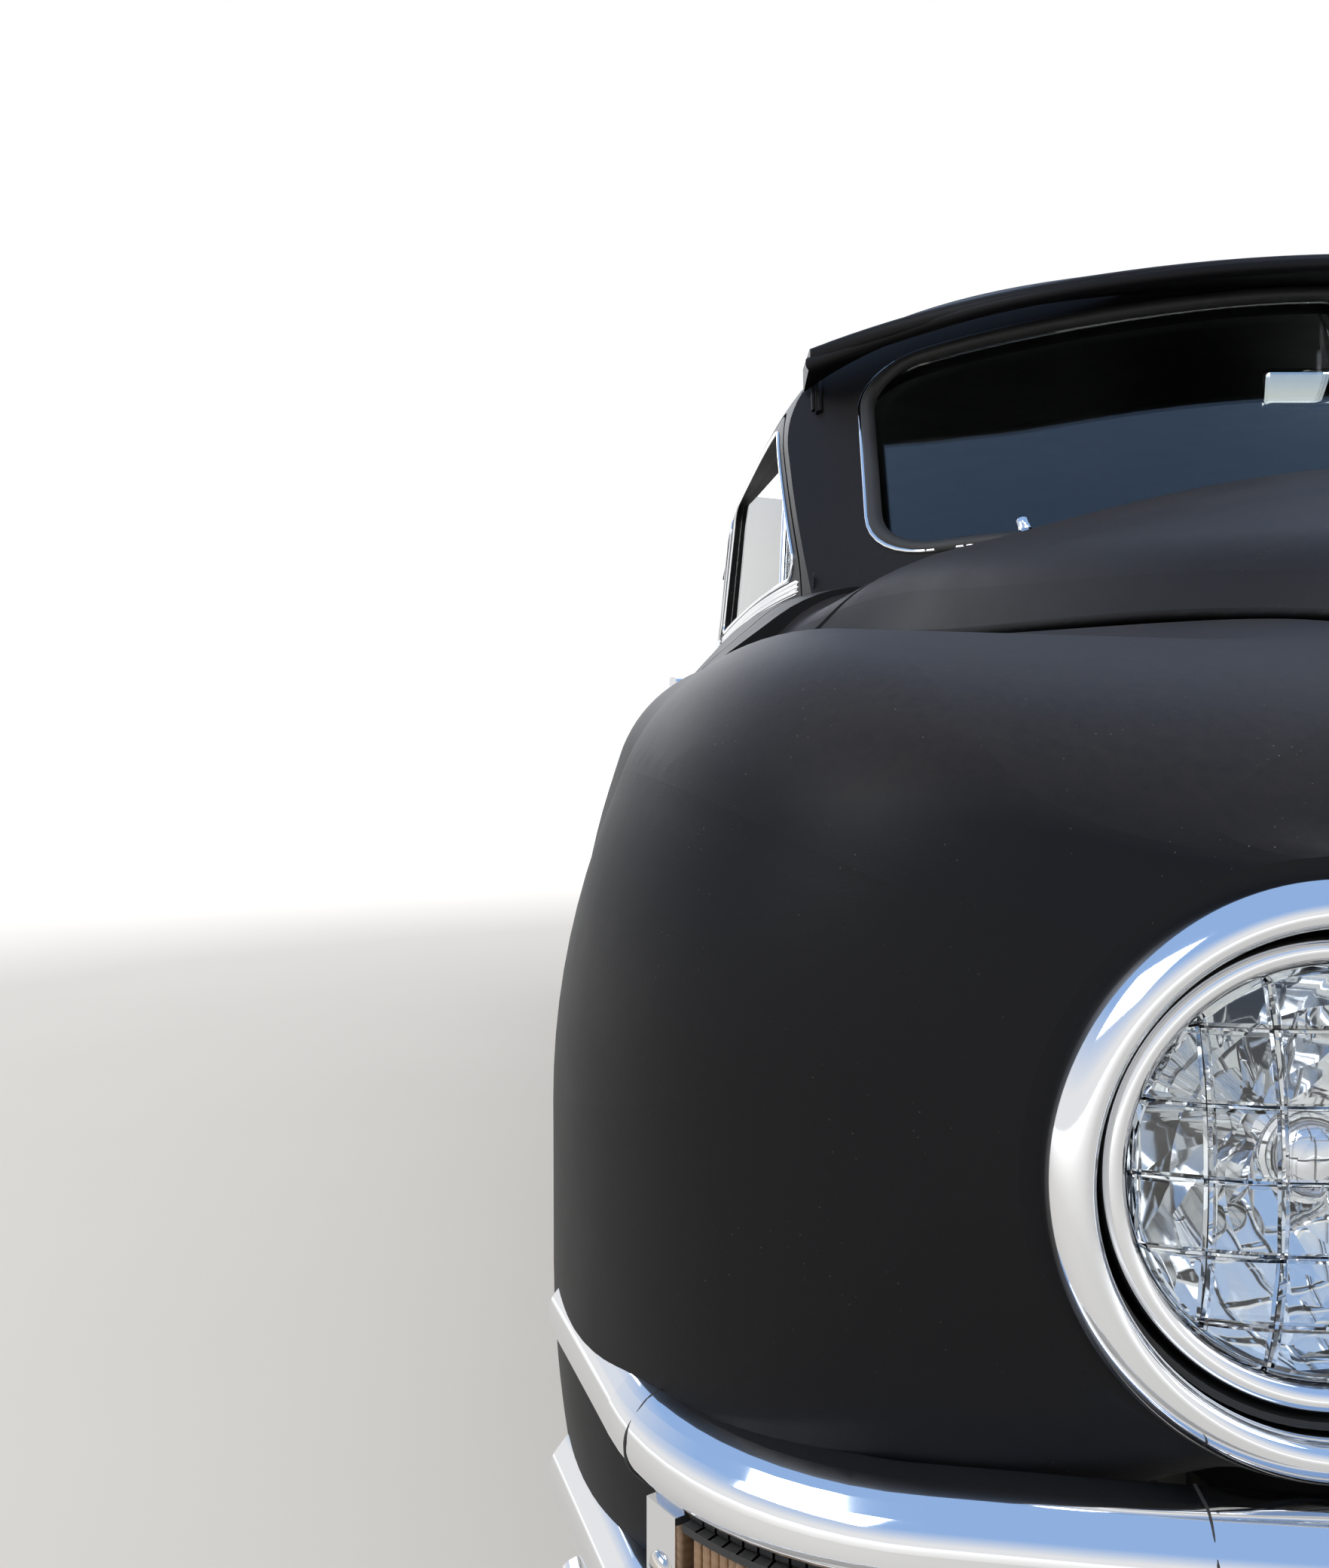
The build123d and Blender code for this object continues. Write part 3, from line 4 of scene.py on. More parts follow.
import bpy
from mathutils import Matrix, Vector

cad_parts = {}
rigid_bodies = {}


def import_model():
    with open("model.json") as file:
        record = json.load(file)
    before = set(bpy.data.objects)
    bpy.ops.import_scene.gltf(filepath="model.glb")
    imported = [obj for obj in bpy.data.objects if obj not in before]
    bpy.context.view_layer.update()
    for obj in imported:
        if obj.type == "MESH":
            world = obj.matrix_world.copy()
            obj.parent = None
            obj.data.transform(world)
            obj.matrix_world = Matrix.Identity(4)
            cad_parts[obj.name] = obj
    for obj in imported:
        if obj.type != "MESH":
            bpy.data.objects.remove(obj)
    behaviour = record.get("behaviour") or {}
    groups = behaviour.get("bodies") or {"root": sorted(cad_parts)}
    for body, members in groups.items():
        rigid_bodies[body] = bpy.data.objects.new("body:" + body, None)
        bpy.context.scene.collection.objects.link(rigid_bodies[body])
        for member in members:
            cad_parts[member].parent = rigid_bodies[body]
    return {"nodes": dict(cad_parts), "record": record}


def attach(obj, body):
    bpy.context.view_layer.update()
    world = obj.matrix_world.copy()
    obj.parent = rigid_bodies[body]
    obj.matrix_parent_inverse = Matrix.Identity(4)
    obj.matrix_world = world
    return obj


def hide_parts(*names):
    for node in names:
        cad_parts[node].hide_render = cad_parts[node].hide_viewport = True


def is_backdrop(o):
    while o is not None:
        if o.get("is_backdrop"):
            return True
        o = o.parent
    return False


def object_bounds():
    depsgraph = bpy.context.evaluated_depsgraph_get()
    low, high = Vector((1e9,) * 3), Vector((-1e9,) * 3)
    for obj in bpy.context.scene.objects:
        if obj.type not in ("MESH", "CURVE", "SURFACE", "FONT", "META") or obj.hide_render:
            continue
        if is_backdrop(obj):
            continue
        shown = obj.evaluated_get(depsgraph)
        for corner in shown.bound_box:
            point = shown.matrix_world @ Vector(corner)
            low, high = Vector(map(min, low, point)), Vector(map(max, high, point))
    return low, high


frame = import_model()
cad_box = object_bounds()
nodes = frame["nodes"]

# Distances are in metres: +Z is up, the car faces -Y, +X is its left side.
LAMP_X, LAMP_Y, LAMP_Z = 0.627, -2.39, 0.762
WHEEL_X, WHEEL_Z = 0.745, 0.355
FRONT_AXLE_Y, REAR_AXLE_Y = -1.69, 1.3
# Straight lines that find a panel from outside or inside the car start this far to the left.
OUTSIDE_X, INSIDE_X = 1.3, 0.3
UP, AHEAD, BACK = (0, 0, 1), (0, -1, 0), (0, 1, 0)
SIDES = (("left", 1), ("right", -1))
DOORS = ("door_left", "door_right")
SHELL = ("body", "body")

# Camera, at the height of the belt and close to the right headlamp
eye = bpy.data.cameras.new("camera")
camera = bpy.data.objects.new("camera", eye)
bpy.context.scene.collection.objects.link(camera)
camera.location = (-0.898, -2.936, 0.938)
camera.rotation_euler = (pi / 2, 0, 0)
eye.lens = 31.18
eye.shift_y = -0.0293
eye.clip_start = 0.01
bpy.context.scene.camera = camera
bpy.context.scene.view_settings.view_transform = "Standard"


# Shader sockets take part in plain arithmetic: each operator adds its Math node.
def reckon(operation, swapped=False):
    def act(self, other=0.0):
        first, second = (other, self) if swapped else (self, other)
        return self.finish.node("ShaderNodeMath", {"operation": operation}, {0: first, 1: second})
    return act


class Value:
    def __init__(self, finish, socket):
        self.finish = finish
        self.socket = socket

    __add__ = reckon("ADD")
    __radd__ = reckon("ADD", swapped=True)
    __sub__ = reckon("SUBTRACT")
    __rsub__ = reckon("SUBTRACT", swapped=True)
    __mul__ = reckon("MULTIPLY")
    __rmul__ = reckon("MULTIPLY", swapped=True)
    __truediv__ = reckon("DIVIDE")
    __gt__ = reckon("GREATER_THAN")
    __lt__ = reckon("LESS_THAN")
    size = reckon("ABSOLUTE")
    wave = reckon("SINE")
    root = reckon("SQRT")
    fraction = reckon("FRACT")
    smaller = reckon("MINIMUM")
    larger = reckon("MAXIMUM")


class Finish:
    def __init__(self, name, **sockets):
        self.material = bpy.data.materials.new(name)
        self.material.use_nodes = True
        self.tree = self.material.node_tree
        self.shader = self.tree.nodes["Principled BSDF"]
        self.set(**sockets)

    def set(self, **sockets):
        # A socket is named by its label in lower case with underscores.
        for key, value in sockets.items():
            self.plug(self.shader.inputs[key.replace("_", " ").title().replace("Ior", "IOR")], value)

    def plug(self, socket, value):
        if isinstance(value, Value):
            self.tree.links.new(value.socket, socket)
        elif hasattr(socket.default_value, "__len__") and len(value) < len(socket.default_value):
            socket.default_value = (*value, 1.0)
        else:
            socket.default_value = value

    def node(self, kind, settings=None, sockets=None, output=0):
        made = self.tree.nodes.new(kind)
        for key, value in (settings or {}).items():
            if key == "stops":
                for stop, (position, shade) in zip(made.color_ramp.elements, value):
                    stop.position = position
                    stop.color = (*(shade if isinstance(shade, tuple) else (shade,) * 3), 1)
            else:
                setattr(made, key, value)
        for key, value in (sockets or {}).items():
            self.plug(made.inputs[key], value)
        return Value(self, made.outputs[output])

    def place(self, turn=(0, 0, 0), centre=(0, 0, 0), stretch=(1, 1, 1)):
        spot = self.node("ShaderNodeTexCoord", output="Object")
        return self.node(
            "ShaderNodeMapping",
            {"vector_type": "POINT"},
            {"Vector": spot, "Location": centre, "Rotation": turn, "Scale": stretch},
        )

    def split(self, vector):
        parts = self.tree.nodes.new("ShaderNodeSeparateXYZ")
        self.tree.links.new(vector.socket, parts.inputs[0])
        return [Value(self, parts.outputs[axis]) for axis in "XYZ"]

    def noise(self, scale, detail=3.0, roughness=0.5, at=None):
        sockets = {"Scale": scale, "Detail": detail, "Roughness": roughness, "Vector": at or self.place()}
        return self.node("ShaderNodeTexNoise", None, sockets)

    def cells(self, scale, feature="F1", at=None):
        sockets = {"Scale": scale, "Vector": at or self.place()}
        return self.node("ShaderNodeTexVoronoi", {"feature": feature}, sockets)

    def ramp(self, value, *stops):
        # A stop is a position and a shade: a number for grey, or three for a colour.
        return self.node("ShaderNodeValToRGB", {"stops": stops}, {"Fac": value})

    def blend(self, factor, first, second):
        # Colours are mixed by the colour side of the Mix node.
        return self.node(
            "ShaderNodeMix", {"data_type": "RGBA"}, {0: factor, 6: first, 7: second}, output=2
        )

    def bump(self, height, distance, strength=1.0, over=None):
        sockets = {"Height": height, "Distance": distance, "Strength": strength}
        if over:
            sockets["Normal"] = over
        return self.node("ShaderNodeBump", None, sockets)


# Finishes, one a material slot of the car
def satin_black():
    paint = Finish("satin_black_paint", specular_ior_level=0.16)
    clouds = paint.noise(9, 5, 0.6)
    grain = paint.noise(900, 2)
    up = paint.split(paint.node("ShaderNodeNewGeometry", output="Normal"))[2]
    dust = paint.ramp(paint.cells(210), (0.0, 1.0), (0.09, 0.0))
    few = paint.ramp(paint.noise(34, 2), (0.5, 0.0), (0.62, 1.0))
    specks = dust * few * paint.ramp(up, (0.1, 0.25), (0.8, 1.0))
    hair = paint.noise(14, 6, 0.7, paint.place(turn=(0.3, 0.5, 0.2), stretch=(60, 3, 9)))
    scratch = paint.ramp(hair, (0.735, 0.0), (0.76, 1.0))
    # The film lightens upward-facing paint toward brown-grey: partly real dust, partly a painted top sheen
    # where light falls on the upper surfaces.
    film = (clouds * 0.5 + paint.noise(160, 4, 0.7) * 0.6 + 0.15) * paint.ramp(up, (0.35, 0.0), (0.95, 1.0))
    base = paint.blend(film, (0.0035, 0.0035, 0.0045), (0.046, 0.039, 0.036))
    base = paint.blend(specks * 0.8, base, (0.34, 0.31, 0.28))
    base = paint.blend(scratch * 0.12, base, (0.12, 0.12, 0.12))
    paint.set(
        base_color=base,
        roughness=0.4 + clouds * 0.16 + specks * 0.3 + grain * 0.06,
        normal=paint.bump(grain + specks * 0.4, 0.00008, 0.8),
    )
    return paint


def plating(name, shade, wear):
    plate = Finish(name, metallic=1.0)
    smear = plate.noise(16, 4, 0.6)
    pits = plate.ramp(plate.cells(420), (0.0, 1.0), (0.06, 0.0))
    patches = plate.ramp(plate.noise(26, 3), (0.54, 0.0), (0.66, 1.0))
    specks = pits * patches * wear
    base = plate.blend(specks, shade, (0.16, 0.11, 0.07))
    plate.set(
        base_color=base,
        roughness=0.035 + smear * 0.07 + specks * 0.5,
        normal=plate.bump(plate.noise(5, 2) - specks * 0.02, 0.0012, 0.25),
    )
    return plate


def enamel(name, shade, gloss, grit=0.3):
    coat = Finish(name)
    clouds = coat.noise(12, 5, 0.6)
    fine = coat.noise(500, 3)
    dirt = coat.ramp(clouds, (0.45, 0.0), (0.75, 1.0)) * grit
    coat.set(
        base_color=coat.blend(dirt, shade, (0.11, 0.095, 0.075)),
        roughness=gloss + clouds * 0.15 + dirt * 0.2,
        normal=coat.bump(fine + clouds * 2, 0.0003, 0.6),
    )
    return coat


def cast_metal():
    metal = Finish("cast_iron_block", metallic=0.55)
    sand = metal.noise(420, 4, 0.7)
    stain = metal.noise(11, 5, 0.6)
    metal.set(
        base_color=metal.blend(stain, (0.035, 0.035, 0.037), (0.09, 0.07, 0.055)),
        roughness=0.55 + sand * 0.25,
        normal=metal.bump(sand, 0.0008, 0.8),
    )
    return metal


def pipe_metal():
    metal = Finish("dull_pipe_steel", metallic=0.85)
    heat = metal.noise(7, 5, 0.6)
    scale = metal.noise(300, 4, 0.7)
    metal.set(
        base_color=metal.blend(heat, (0.2, 0.19, 0.18), (0.2, 0.11, 0.06)),
        roughness=0.38 + heat * 0.3,
        normal=metal.bump(scale, 0.0005, 0.7),
    )
    return metal


def pressed_glass():
    # Clear headlamp glass, crossed by a grid of fine pressed lines
    glass = Finish("pressed_lamp_glass", transmission_weight=1.0, ior=1.5)
    x, _, z = glass.split(glass.place())
    lines = []
    for spot, pitch in ((x.size() - LAMP_X, 0.027), (z - LAMP_Z, 0.0294)):
        cell = (spot / pitch + 40.5).fraction() - 0.5
        lines.append(glass.ramp(cell.size(), (0.0, 1.0), (0.055, 0.0)))
    film = glass.noise(60, 3)
    glass.set(
        base_color=glass.blend(film * 0.4, (0.97, 0.985, 1.0), (0.86, 0.88, 0.86)),
        roughness=0.008 + film * 0.02,
        normal=glass.bump(lines[0] + lines[1] + glass.noise(22, 2) * 0.9, 0.0012, 1.0),
    )
    return glass


def window_glass():
    glass = Finish("window_glass", transmission_weight=1.0, ior=1.45)
    film = glass.noise(5, 4, 0.6)
    glass.set(
        base_color=glass.blend(film * 0.3, (0.9, 0.945, 0.93), (0.8, 0.84, 0.82)),
        roughness=film * 0.012,
    )
    return glass


def coloured_lens(name, shade, deep, pitch):
    lens = Finish(name, transmission_weight=0.25, ior=1.5, coat_weight=0.3)
    ribs = (lens.split(lens.place())[2] * (2 * pi / pitch)).wave()
    cloud = lens.noise(70, 4)
    lens.set(
        base_color=lens.blend(cloud, shade, deep),
        roughness=0.16 + cloud * 0.16,
        normal=lens.bump(ribs * 0.4 + lens.noise(400, 2) * 0.4, 0.0006, 0.5),
    )
    return lens


def lamp_reflector():
    # Silvered inside, black where the bowl shows outside the lens
    bowl = Finish("lamp_reflector")
    x, _, z = bowl.split(bowl.place())
    across = x.size() - LAMP_X
    up = z - LAMP_Z
    radius = (across * across + up * up).root()
    silver = radius < 0.0905
    mist = bowl.noise(40, 3)
    bowl.set(
        base_color=bowl.blend(silver, (0.012, 0.012, 0.012), (0.82, 0.83, 0.84)),
        metallic=silver,
        roughness=0.5 - silver * 0.4 + mist * 0.06,
        normal=bowl.bump(mist, 0.0005, 0.3),
    )
    return bowl


def seat_cloth():
    cloth = Finish("seat_cloth", sheen_weight=0.35, sheen_roughness=0.5)
    x, y, z = cloth.split(cloth.place())
    warp = (x * 2200.0).wave()
    weft = ((y + z) * 2200.0).wave()
    thread = warp * weft
    slub = cloth.noise(45, 5, 0.7, cloth.place(stretch=(1, 6, 6)))
    stripe = (x * 70.0).wave() > 0.82
    base = cloth.blend(slub, (0.10, 0.092, 0.082), (0.20, 0.185, 0.16))
    base = cloth.blend(stripe * 0.5, base, (0.055, 0.05, 0.048))
    cloth.set(
        base_color=base,
        roughness=0.82 + slub * 0.12,
        normal=cloth.bump(thread + slub * 0.8, 0.0004, 0.7),
    )
    return cloth


def rubber(name, shade, gloss):
    gum = Finish(name)
    bloom = gum.noise(18, 5, 0.6)
    pores = gum.noise(700, 2)
    gum.set(
        base_color=gum.blend(bloom, shade, tuple(3.2 * c for c in shade)),
        roughness=gloss + bloom * 0.18,
        normal=gum.bump(pores + bloom, 0.0003, 0.5),
    )
    return gum


def tyre_rubber():
    gum = Finish("tyre_rubber")
    bloom = gum.noise(14, 5, 0.65)
    dust = gum.ramp(gum.noise(40, 4), (0.45, 0.0), (0.8, 1.0))
    gum.set(
        base_color=gum.blend(dust * 0.6, (0.014, 0.014, 0.014), (0.06, 0.055, 0.048)),
        roughness=0.6 + bloom * 0.2,
        normal=gum.bump(gum.noise(600, 3) + bloom, 0.0005, 0.6),
    )
    return gum


def wheel_black():
    # Black steel disc, plated where the cap covers the hub
    disc = Finish("wheel_enamel")
    x, y, z = disc.split(disc.place())
    outward = x.size()
    along = (y - REAR_AXLE_Y).size().smaller((y - FRONT_AXLE_Y).size())
    up = z - WHEEL_Z
    radius = (along * along + up * up).root()
    cap = (radius < 0.1245) * (outward > 0.7725)
    clouds = disc.noise(20, 4)
    disc.set(
        base_color=disc.blend(cap, (0.011, 0.011, 0.012), (0.78, 0.79, 0.8)),
        metallic=cap,
        roughness=0.3 - cap * 0.24 + clouds * 0.12,
        normal=disc.bump(clouds, 0.0006, 0.3),
    )
    return disc


finishes = {
    "body_paint": satin_black(),
    "chrome": plating("polished_plating", (0.76, 0.77, 0.79), 0.8),
    "reflector": lamp_reflector(),
    "lamp_glass": pressed_glass(),
    "amber_lens": coloured_lens("amber_fluted_glass", (0.42, 0.25, 0.13), (0.24, 0.13, 0.06), 0.004),
    "red_lens": coloured_lens("red_ribbed_glass", (0.42, 0.012, 0.01), (0.2, 0.004, 0.004), 0.006),
    "glass": window_glass(),
    "underbody": enamel("undercoat", (0.02, 0.02, 0.02), 0.6, 0.5),
    "chassis_paint": enamel("chassis_black", (0.016, 0.016, 0.017), 0.4, 0.45),
    "cast_iron": cast_metal(),
    "pipe_steel": pipe_metal(),
    "dash_paint": enamel("dash_grey", (0.035, 0.034, 0.033), 0.38, 0.1),
    "seat_cloth": seat_cloth(),
    "hard_rubber": rubber("moulded_black", (0.012, 0.012, 0.012), 0.22),
    "wheel_paint": wheel_black(),
    "tyre": tyre_rubber(),
}
gasket_rubber = rubber("gasket_rubber", (0.011, 0.011, 0.011), 0.5)
silvered = Finish("silvered_glass", metallic=1.0)
silvered.set(
    base_color=silvered.blend(silvered.noise(30, 3), (0.8, 0.82, 0.82), (0.72, 0.74, 0.75)),
    roughness=0.01 + silvered.noise(80, 3) * 0.03,
)


def wear(piece, finish):
    piece.data.materials.clear()
    piece.data.materials.append(finish.material)


for part in frame["record"]["subparts"]:
    wear(nodes[part["node"]], finishes[part["material_slot"]])


# Modelling steps that every piece uses
def only(*pieces):
    bpy.ops.object.select_all(action="DESELECT")
    for piece in pieces:
        piece.select_set(True)
        bpy.context.view_layer.objects.active = piece


def bake_place(piece):
    only(piece)
    bpy.ops.object.transform_apply(location=True, rotation=True, scale=True)
    return piece


def shape(piece, kind, **settings):
    only(piece)
    modifier = piece.modifiers.new(kind.lower(), kind)
    for key, value in settings.items():
        setattr(modifier, key, value)
    bpy.ops.object.modifier_apply(modifier=modifier.name)
    return piece


def soften(piece, width, segments=2, angle=40):
    limit = {"limit_method": "ANGLE", "angle_limit": radians(angle)}
    return shape(piece, "BEVEL", width=width, segments=segments, **limit)


def edit(piece, *steps):
    # Each step is an operator of edit mode and its settings.
    only(piece)
    bpy.ops.object.mode_set(mode="EDIT")
    bpy.ops.mesh.select_all(action="SELECT")
    for operator, settings in steps:
        operator(**settings)
    bpy.ops.object.mode_set(mode="OBJECT")
    return piece


def face_out(piece):
    return edit(
        piece,
        (bpy.ops.mesh.remove_doubles, {"threshold": 0.00002}),
        (bpy.ops.mesh.normals_make_consistent, {"inside": False}),
    )


def weld(pieces):
    only(*pieces)
    bpy.ops.object.join()
    return bpy.context.object


def fresh(primitive, **settings):
    # A new primitive, with nothing else selected
    bpy.ops.object.select_all(action="DESELECT")
    primitive(**settings)
    return bpy.context.object


def settle(piece, name, slot="chrome", finish=None, smooth=38, body="body"):
    bake_place(piece)
    bpy.ops.object.shade_smooth_by_angle(angle=radians(smooth))
    piece.name = name
    piece.data.name = name
    wear(piece, finish or finishes[slot])
    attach(piece, body)
    return piece


def both(piece, name, bodies, slot="chrome", finish=None, smooth=60):
    # The left piece, and a mirrored copy with its own mesh for the right
    settle(piece, name + "_left", slot, finish, smooth, bodies[0])
    only(piece)
    bpy.ops.object.duplicate()
    copy = bpy.context.object
    copy.scale.x = -1
    bake_place(copy)
    face_out(copy)
    copy.name = name + "_right"
    copy.data.name = copy.name
    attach(copy, bodies[1])


def block(centre, size, turn=(0, 0, 0)):
    piece = fresh(bpy.ops.mesh.primitive_cube_add, size=1, location=centre, rotation=turn)
    piece.scale = size
    return bake_place(piece)


def soft_block(centre, size, edge, segments=2, turn=(0, 0, 0)):
    return soften(block(centre, size, turn), edge, segments)


def facing_turn(facing):
    return Vector(facing).to_track_quat("Z", "Y").to_euler()


def drum(centre, radius, depth, along, sides=32):
    size = {"vertices": sides, "radius": radius, "depth": depth}
    return bake_place(fresh(
        bpy.ops.mesh.primitive_cylinder_add, location=centre, rotation=facing_turn(along), **size,
    ))


def turned(centre, along, profile, steps=48):
    # A profile of (radius, distance along the axis) is spun round that axis.
    piece = fresh(bpy.ops.mesh.primitive_circle_add, vertices=len(profile))
    for vertex, (radius, reach) in zip(piece.data.vertices, profile):
        vertex.co = (radius, 0, reach)
    edit(piece, (bpy.ops.mesh.spin, {"steps": steps, "angle": 2 * pi, "center": (0, 0, 0), "axis": UP}))
    piece.rotation_euler = facing_turn(along)
    piece.location = centre
    bake_place(piece)
    return face_out(piece)


def tube(points, radius, origin=(0, 0, 0), closed=False, sides=3):
    # A round bar along smooth points, which are measured from its origin
    path = fresh(bpy.ops.curve.primitive_nurbs_path_add)
    path.data.splines.clear()
    spline = path.data.splines.new("NURBS")
    spline.points.add(len(points) - 1)
    for point, place in zip(spline.points, points):
        point.co = (*(Vector(origin) + Vector(place)), 1)
    spline.order_u = 3
    spline.use_endpoint_u = not closed
    spline.use_cyclic_u = closed
    path.data.bevel_depth = radius
    path.data.bevel_resolution = sides
    path.data.resolution_u = 5
    path.data.use_fill_caps = True
    only(path)
    bpy.ops.object.convert(target="MESH")
    return face_out(bpy.context.object)


def rounded(corners, shares, steps=8):
    # Each corner becomes a round arc over a share of half its shorter side.
    points = []
    for index, (corner, share) in enumerate(zip(corners, shares)):
        here = Vector(corner)
        before = Vector(corners[index - 1]) - here
        after = Vector(corners[(index + 1) % len(corners)]) - here
        reach = share * 0.5 * min(before.length, after.length)
        weight = sin(before.angle(after) / 2)
        for step in range(steps + 1):
            t = step / steps
            parts = ((1 - t) ** 2, 2 * t * (1 - t) * weight, t ** 2)
            ends = (here + before.normalized() * reach, here, here + after.normalized() * reach)
            points.append(sum((end * part for end, part in zip(ends, parts)), Vector((0, 0))) / sum(parts))
    return points


def grown(outline, margin):
    middle = sum(outline, Vector((0, 0))) / len(outline)
    return [middle + (spot - middle) * (1 + margin / (spot - middle).length) for spot in outline]


def spread(points, pitch):
    # More points on the long straight sides of a closed outline
    full = []
    for here, there in zip(points, points[1:] + points[:1]):
        count = max(1, round((there - here).length / pitch))
        full += [here.lerp(there, step / count) for step in range(count)]
    return full


def loop_bar(outline, place, radius, pitch=0.03):
    # A round bar along a closed outline, laid on a surface by place(u, v)
    points = spread(outline, pitch)
    piece = fresh(bpy.ops.mesh.primitive_circle_add, vertices=len(points))
    for vertex, (u, v) in zip(piece.data.vertices, points):
        vertex.co = place(u, v)
    only(piece)
    bpy.ops.object.convert(target="CURVE")
    bar = bpy.context.object
    bar.data.bevel_depth = radius
    bar.data.bevel_resolution = 3
    bpy.ops.object.convert(target="MESH")
    return face_out(bpy.context.object)


def touch(names, start, heading):
    # The first place where a straight line meets the named nodes, and the way the surface faces there
    first = None
    for name in names:
        hit, place, facing, _ = nodes[name].ray_cast(Vector(start), Vector(heading).normalized())
        if hit and (first is None or (place - Vector(start)).length < (first[0] - Vector(start)).length):
            first = (place, facing)
    return first


def on_left(names, y, z):
    return touch(names, (OUTSIDE_X, y, z), (-1, 0, 0))


def seated(found, sunk, profile, steps=48):
    # A turned piece stands on a surface at a found place, sunk a little into it.
    spot, facing = found
    return turned(spot - facing * sunk, facing, profile, steps)


def along(route, share):
    spot = share * (len(route) - 1)
    index = min(int(spot), len(route) - 2)
    return Vector(route[index]).lerp(Vector(route[index + 1]), spot - index)


def side_strip(names, route, width, thick):
    # A thin strip laid on the car's left side along a route of (y, z) points
    strip = fresh(bpy.ops.mesh.primitive_grid_add, x_subdivisions=24, y_subdivisions=1, size=1)
    for vertex in strip.data.vertices:
        y, z = along(route, vertex.co.x + 0.5)
        found = on_left(names, y, z + vertex.co.y * width)
        vertex.co = found[0] if found else (0.7, y, z)
    shape(strip, "SOLIDIFY", thickness=2 * thick, offset=0)
    return face_out(soften(strip, thick * 0.45))


def moulding(name, on, route, bodies, strips):
    # Strips of (rise, width, half thickness) along one route make one moulding.
    both(weld([
        side_strip([on], [(y, z + rise) for y, z in route], width, thick) for rise, width, thick in strips
    ]), name, bodies)


def surround(name, outline, place, *rings):
    # A rubber gasket and a bright wire round a window, each as its margin, lift and radius
    looks = (("_gasket", "hard_rubber", gasket_rubber), ("_reveal", "chrome", None))
    for (margin, lift, radius), (kind, slot, finish) in zip(rings, looks):
        ring = loop_bar(grown(outline, margin), place(lift), radius)
        settle(ring, name + kind, slot, finish, 60)


# The windshield stands on a cylinder that leans back; places on it are across and up its slope.
SHIELD_R = 1.18
SHIELD_LEAN = radians(37.3)
SHIELD_FOOT_Y, SHIELD_FOOT_Z = -1.376, 1.19
SHIELD_EDGE = [
    (-0.624, 0.113), (-0.33, 0.022), (0.33, 0.022), (0.624, 0.113),
    (0.609, 0.482), (0.3, 0.44), (-0.3, 0.44), (-0.609, 0.482),
]
SHIELD_SHARES = [0.5, 0.9, 0.9, 0.5, 0.5, 0.9, 0.9, 0.5]


def on_shield(lift):
    def place(across, up):
        depth = SHIELD_R - (SHIELD_R ** 2 - across ** 2) ** 0.5 - lift
        return Vector((
            across,
            SHIELD_FOOT_Y + up * sin(SHIELD_LEAN) + depth * cos(SHIELD_LEAN),
            SHIELD_FOOT_Z + up * cos(SHIELD_LEAN) - depth * sin(SHIELD_LEAN),
        ))
    return place


shield_round = rounded(SHIELD_EDGE, SHIELD_SHARES)
surround("windshield", shield_round, on_shield, (-0.004, -0.003, 0.0105), (0.0065, 0.0015, 0.0035))

# Window reveals: bright wire round each side opening
DOOR_OPENING = [(-1.038, 1.165), (-0.02, 1.165), (-0.062, 1.426), (-0.8, 1.424)]
QUARTER_OPENING = [(0.1, 1.162), (0.64, 1.15), (0.6, 1.29), (0.49, 1.392), (0.084, 1.424)]


def side_place(name, lift=0.0005):
    def place(y, z):
        found = on_left([name], y, z)
        return found[0] + Vector((lift, 0, 0)) if found else Vector((0.7, y, z))
    return place


for name, on, corners, shares, bodies in (
    ("door_reveal", "door_left", DOOR_OPENING, [0.3, 0.2, 0.3, 0.4], DOORS),
    ("quarter_reveal", "body_shell", QUARTER_OPENING, [0.25, 0.4, 0.7, 0.7, 0.3], SHELL),
):
    both(loop_bar(grown(rounded(corners, shares), 0.009), side_place(on), 0.0032), name, bodies)


def side_glass(y, z, lift):
    # The door glass is a plane that leans inwards and runs in towards the front.
    return Vector((0.736 + 0.0571 * (y + 0.4) - 0.0843 * (z - 1.165) + lift, y, z))


# Vent pane: its upright with a thinner strip beside it, and the small latch inside
VENT_LINE = ((-0.842, 1.162), (-0.80, 1.29), (-0.772, 1.428))
upright = weld([
    tube([side_glass(y + shift, z, 0.004) for y, z in VENT_LINE], radius)
    for shift, radius in ((0, 0.0075), (0.011, 0.004))
])
both(upright, "vent_upright", DOORS)
latch = weld([
    soft_block(side_glass(-0.872, 1.215, -0.014), (0.012, 0.012, 0.05), 0.003),
    soft_block(side_glass(-0.872, 1.24, -0.02), (0.01, 0.045, 0.012), 0.003),
    drum(side_glass(-0.872, 1.215, -0.006), 0.008, 0.016, (1, 0, 0)),
])
both(latch, "vent_latch", DOORS)

# Belt moulding, three ribs over a flat strip, in one length a panel
BELT = [(rise, 0.0045, 0.0032) for rise in (-0.0065, 0, 0.0065)] + [(0, 0.021, 0.0012)]
moulding("door_belt", "door_left", [(-1.13, 1.147), (-0.6, 1.148), (0.06, 1.146)], DOORS, BELT)
moulding("quarter_belt", "body_shell", [(0.1, 1.146), (0.7, 1.137), (1.0, 1.122)], SHELL, BELT)

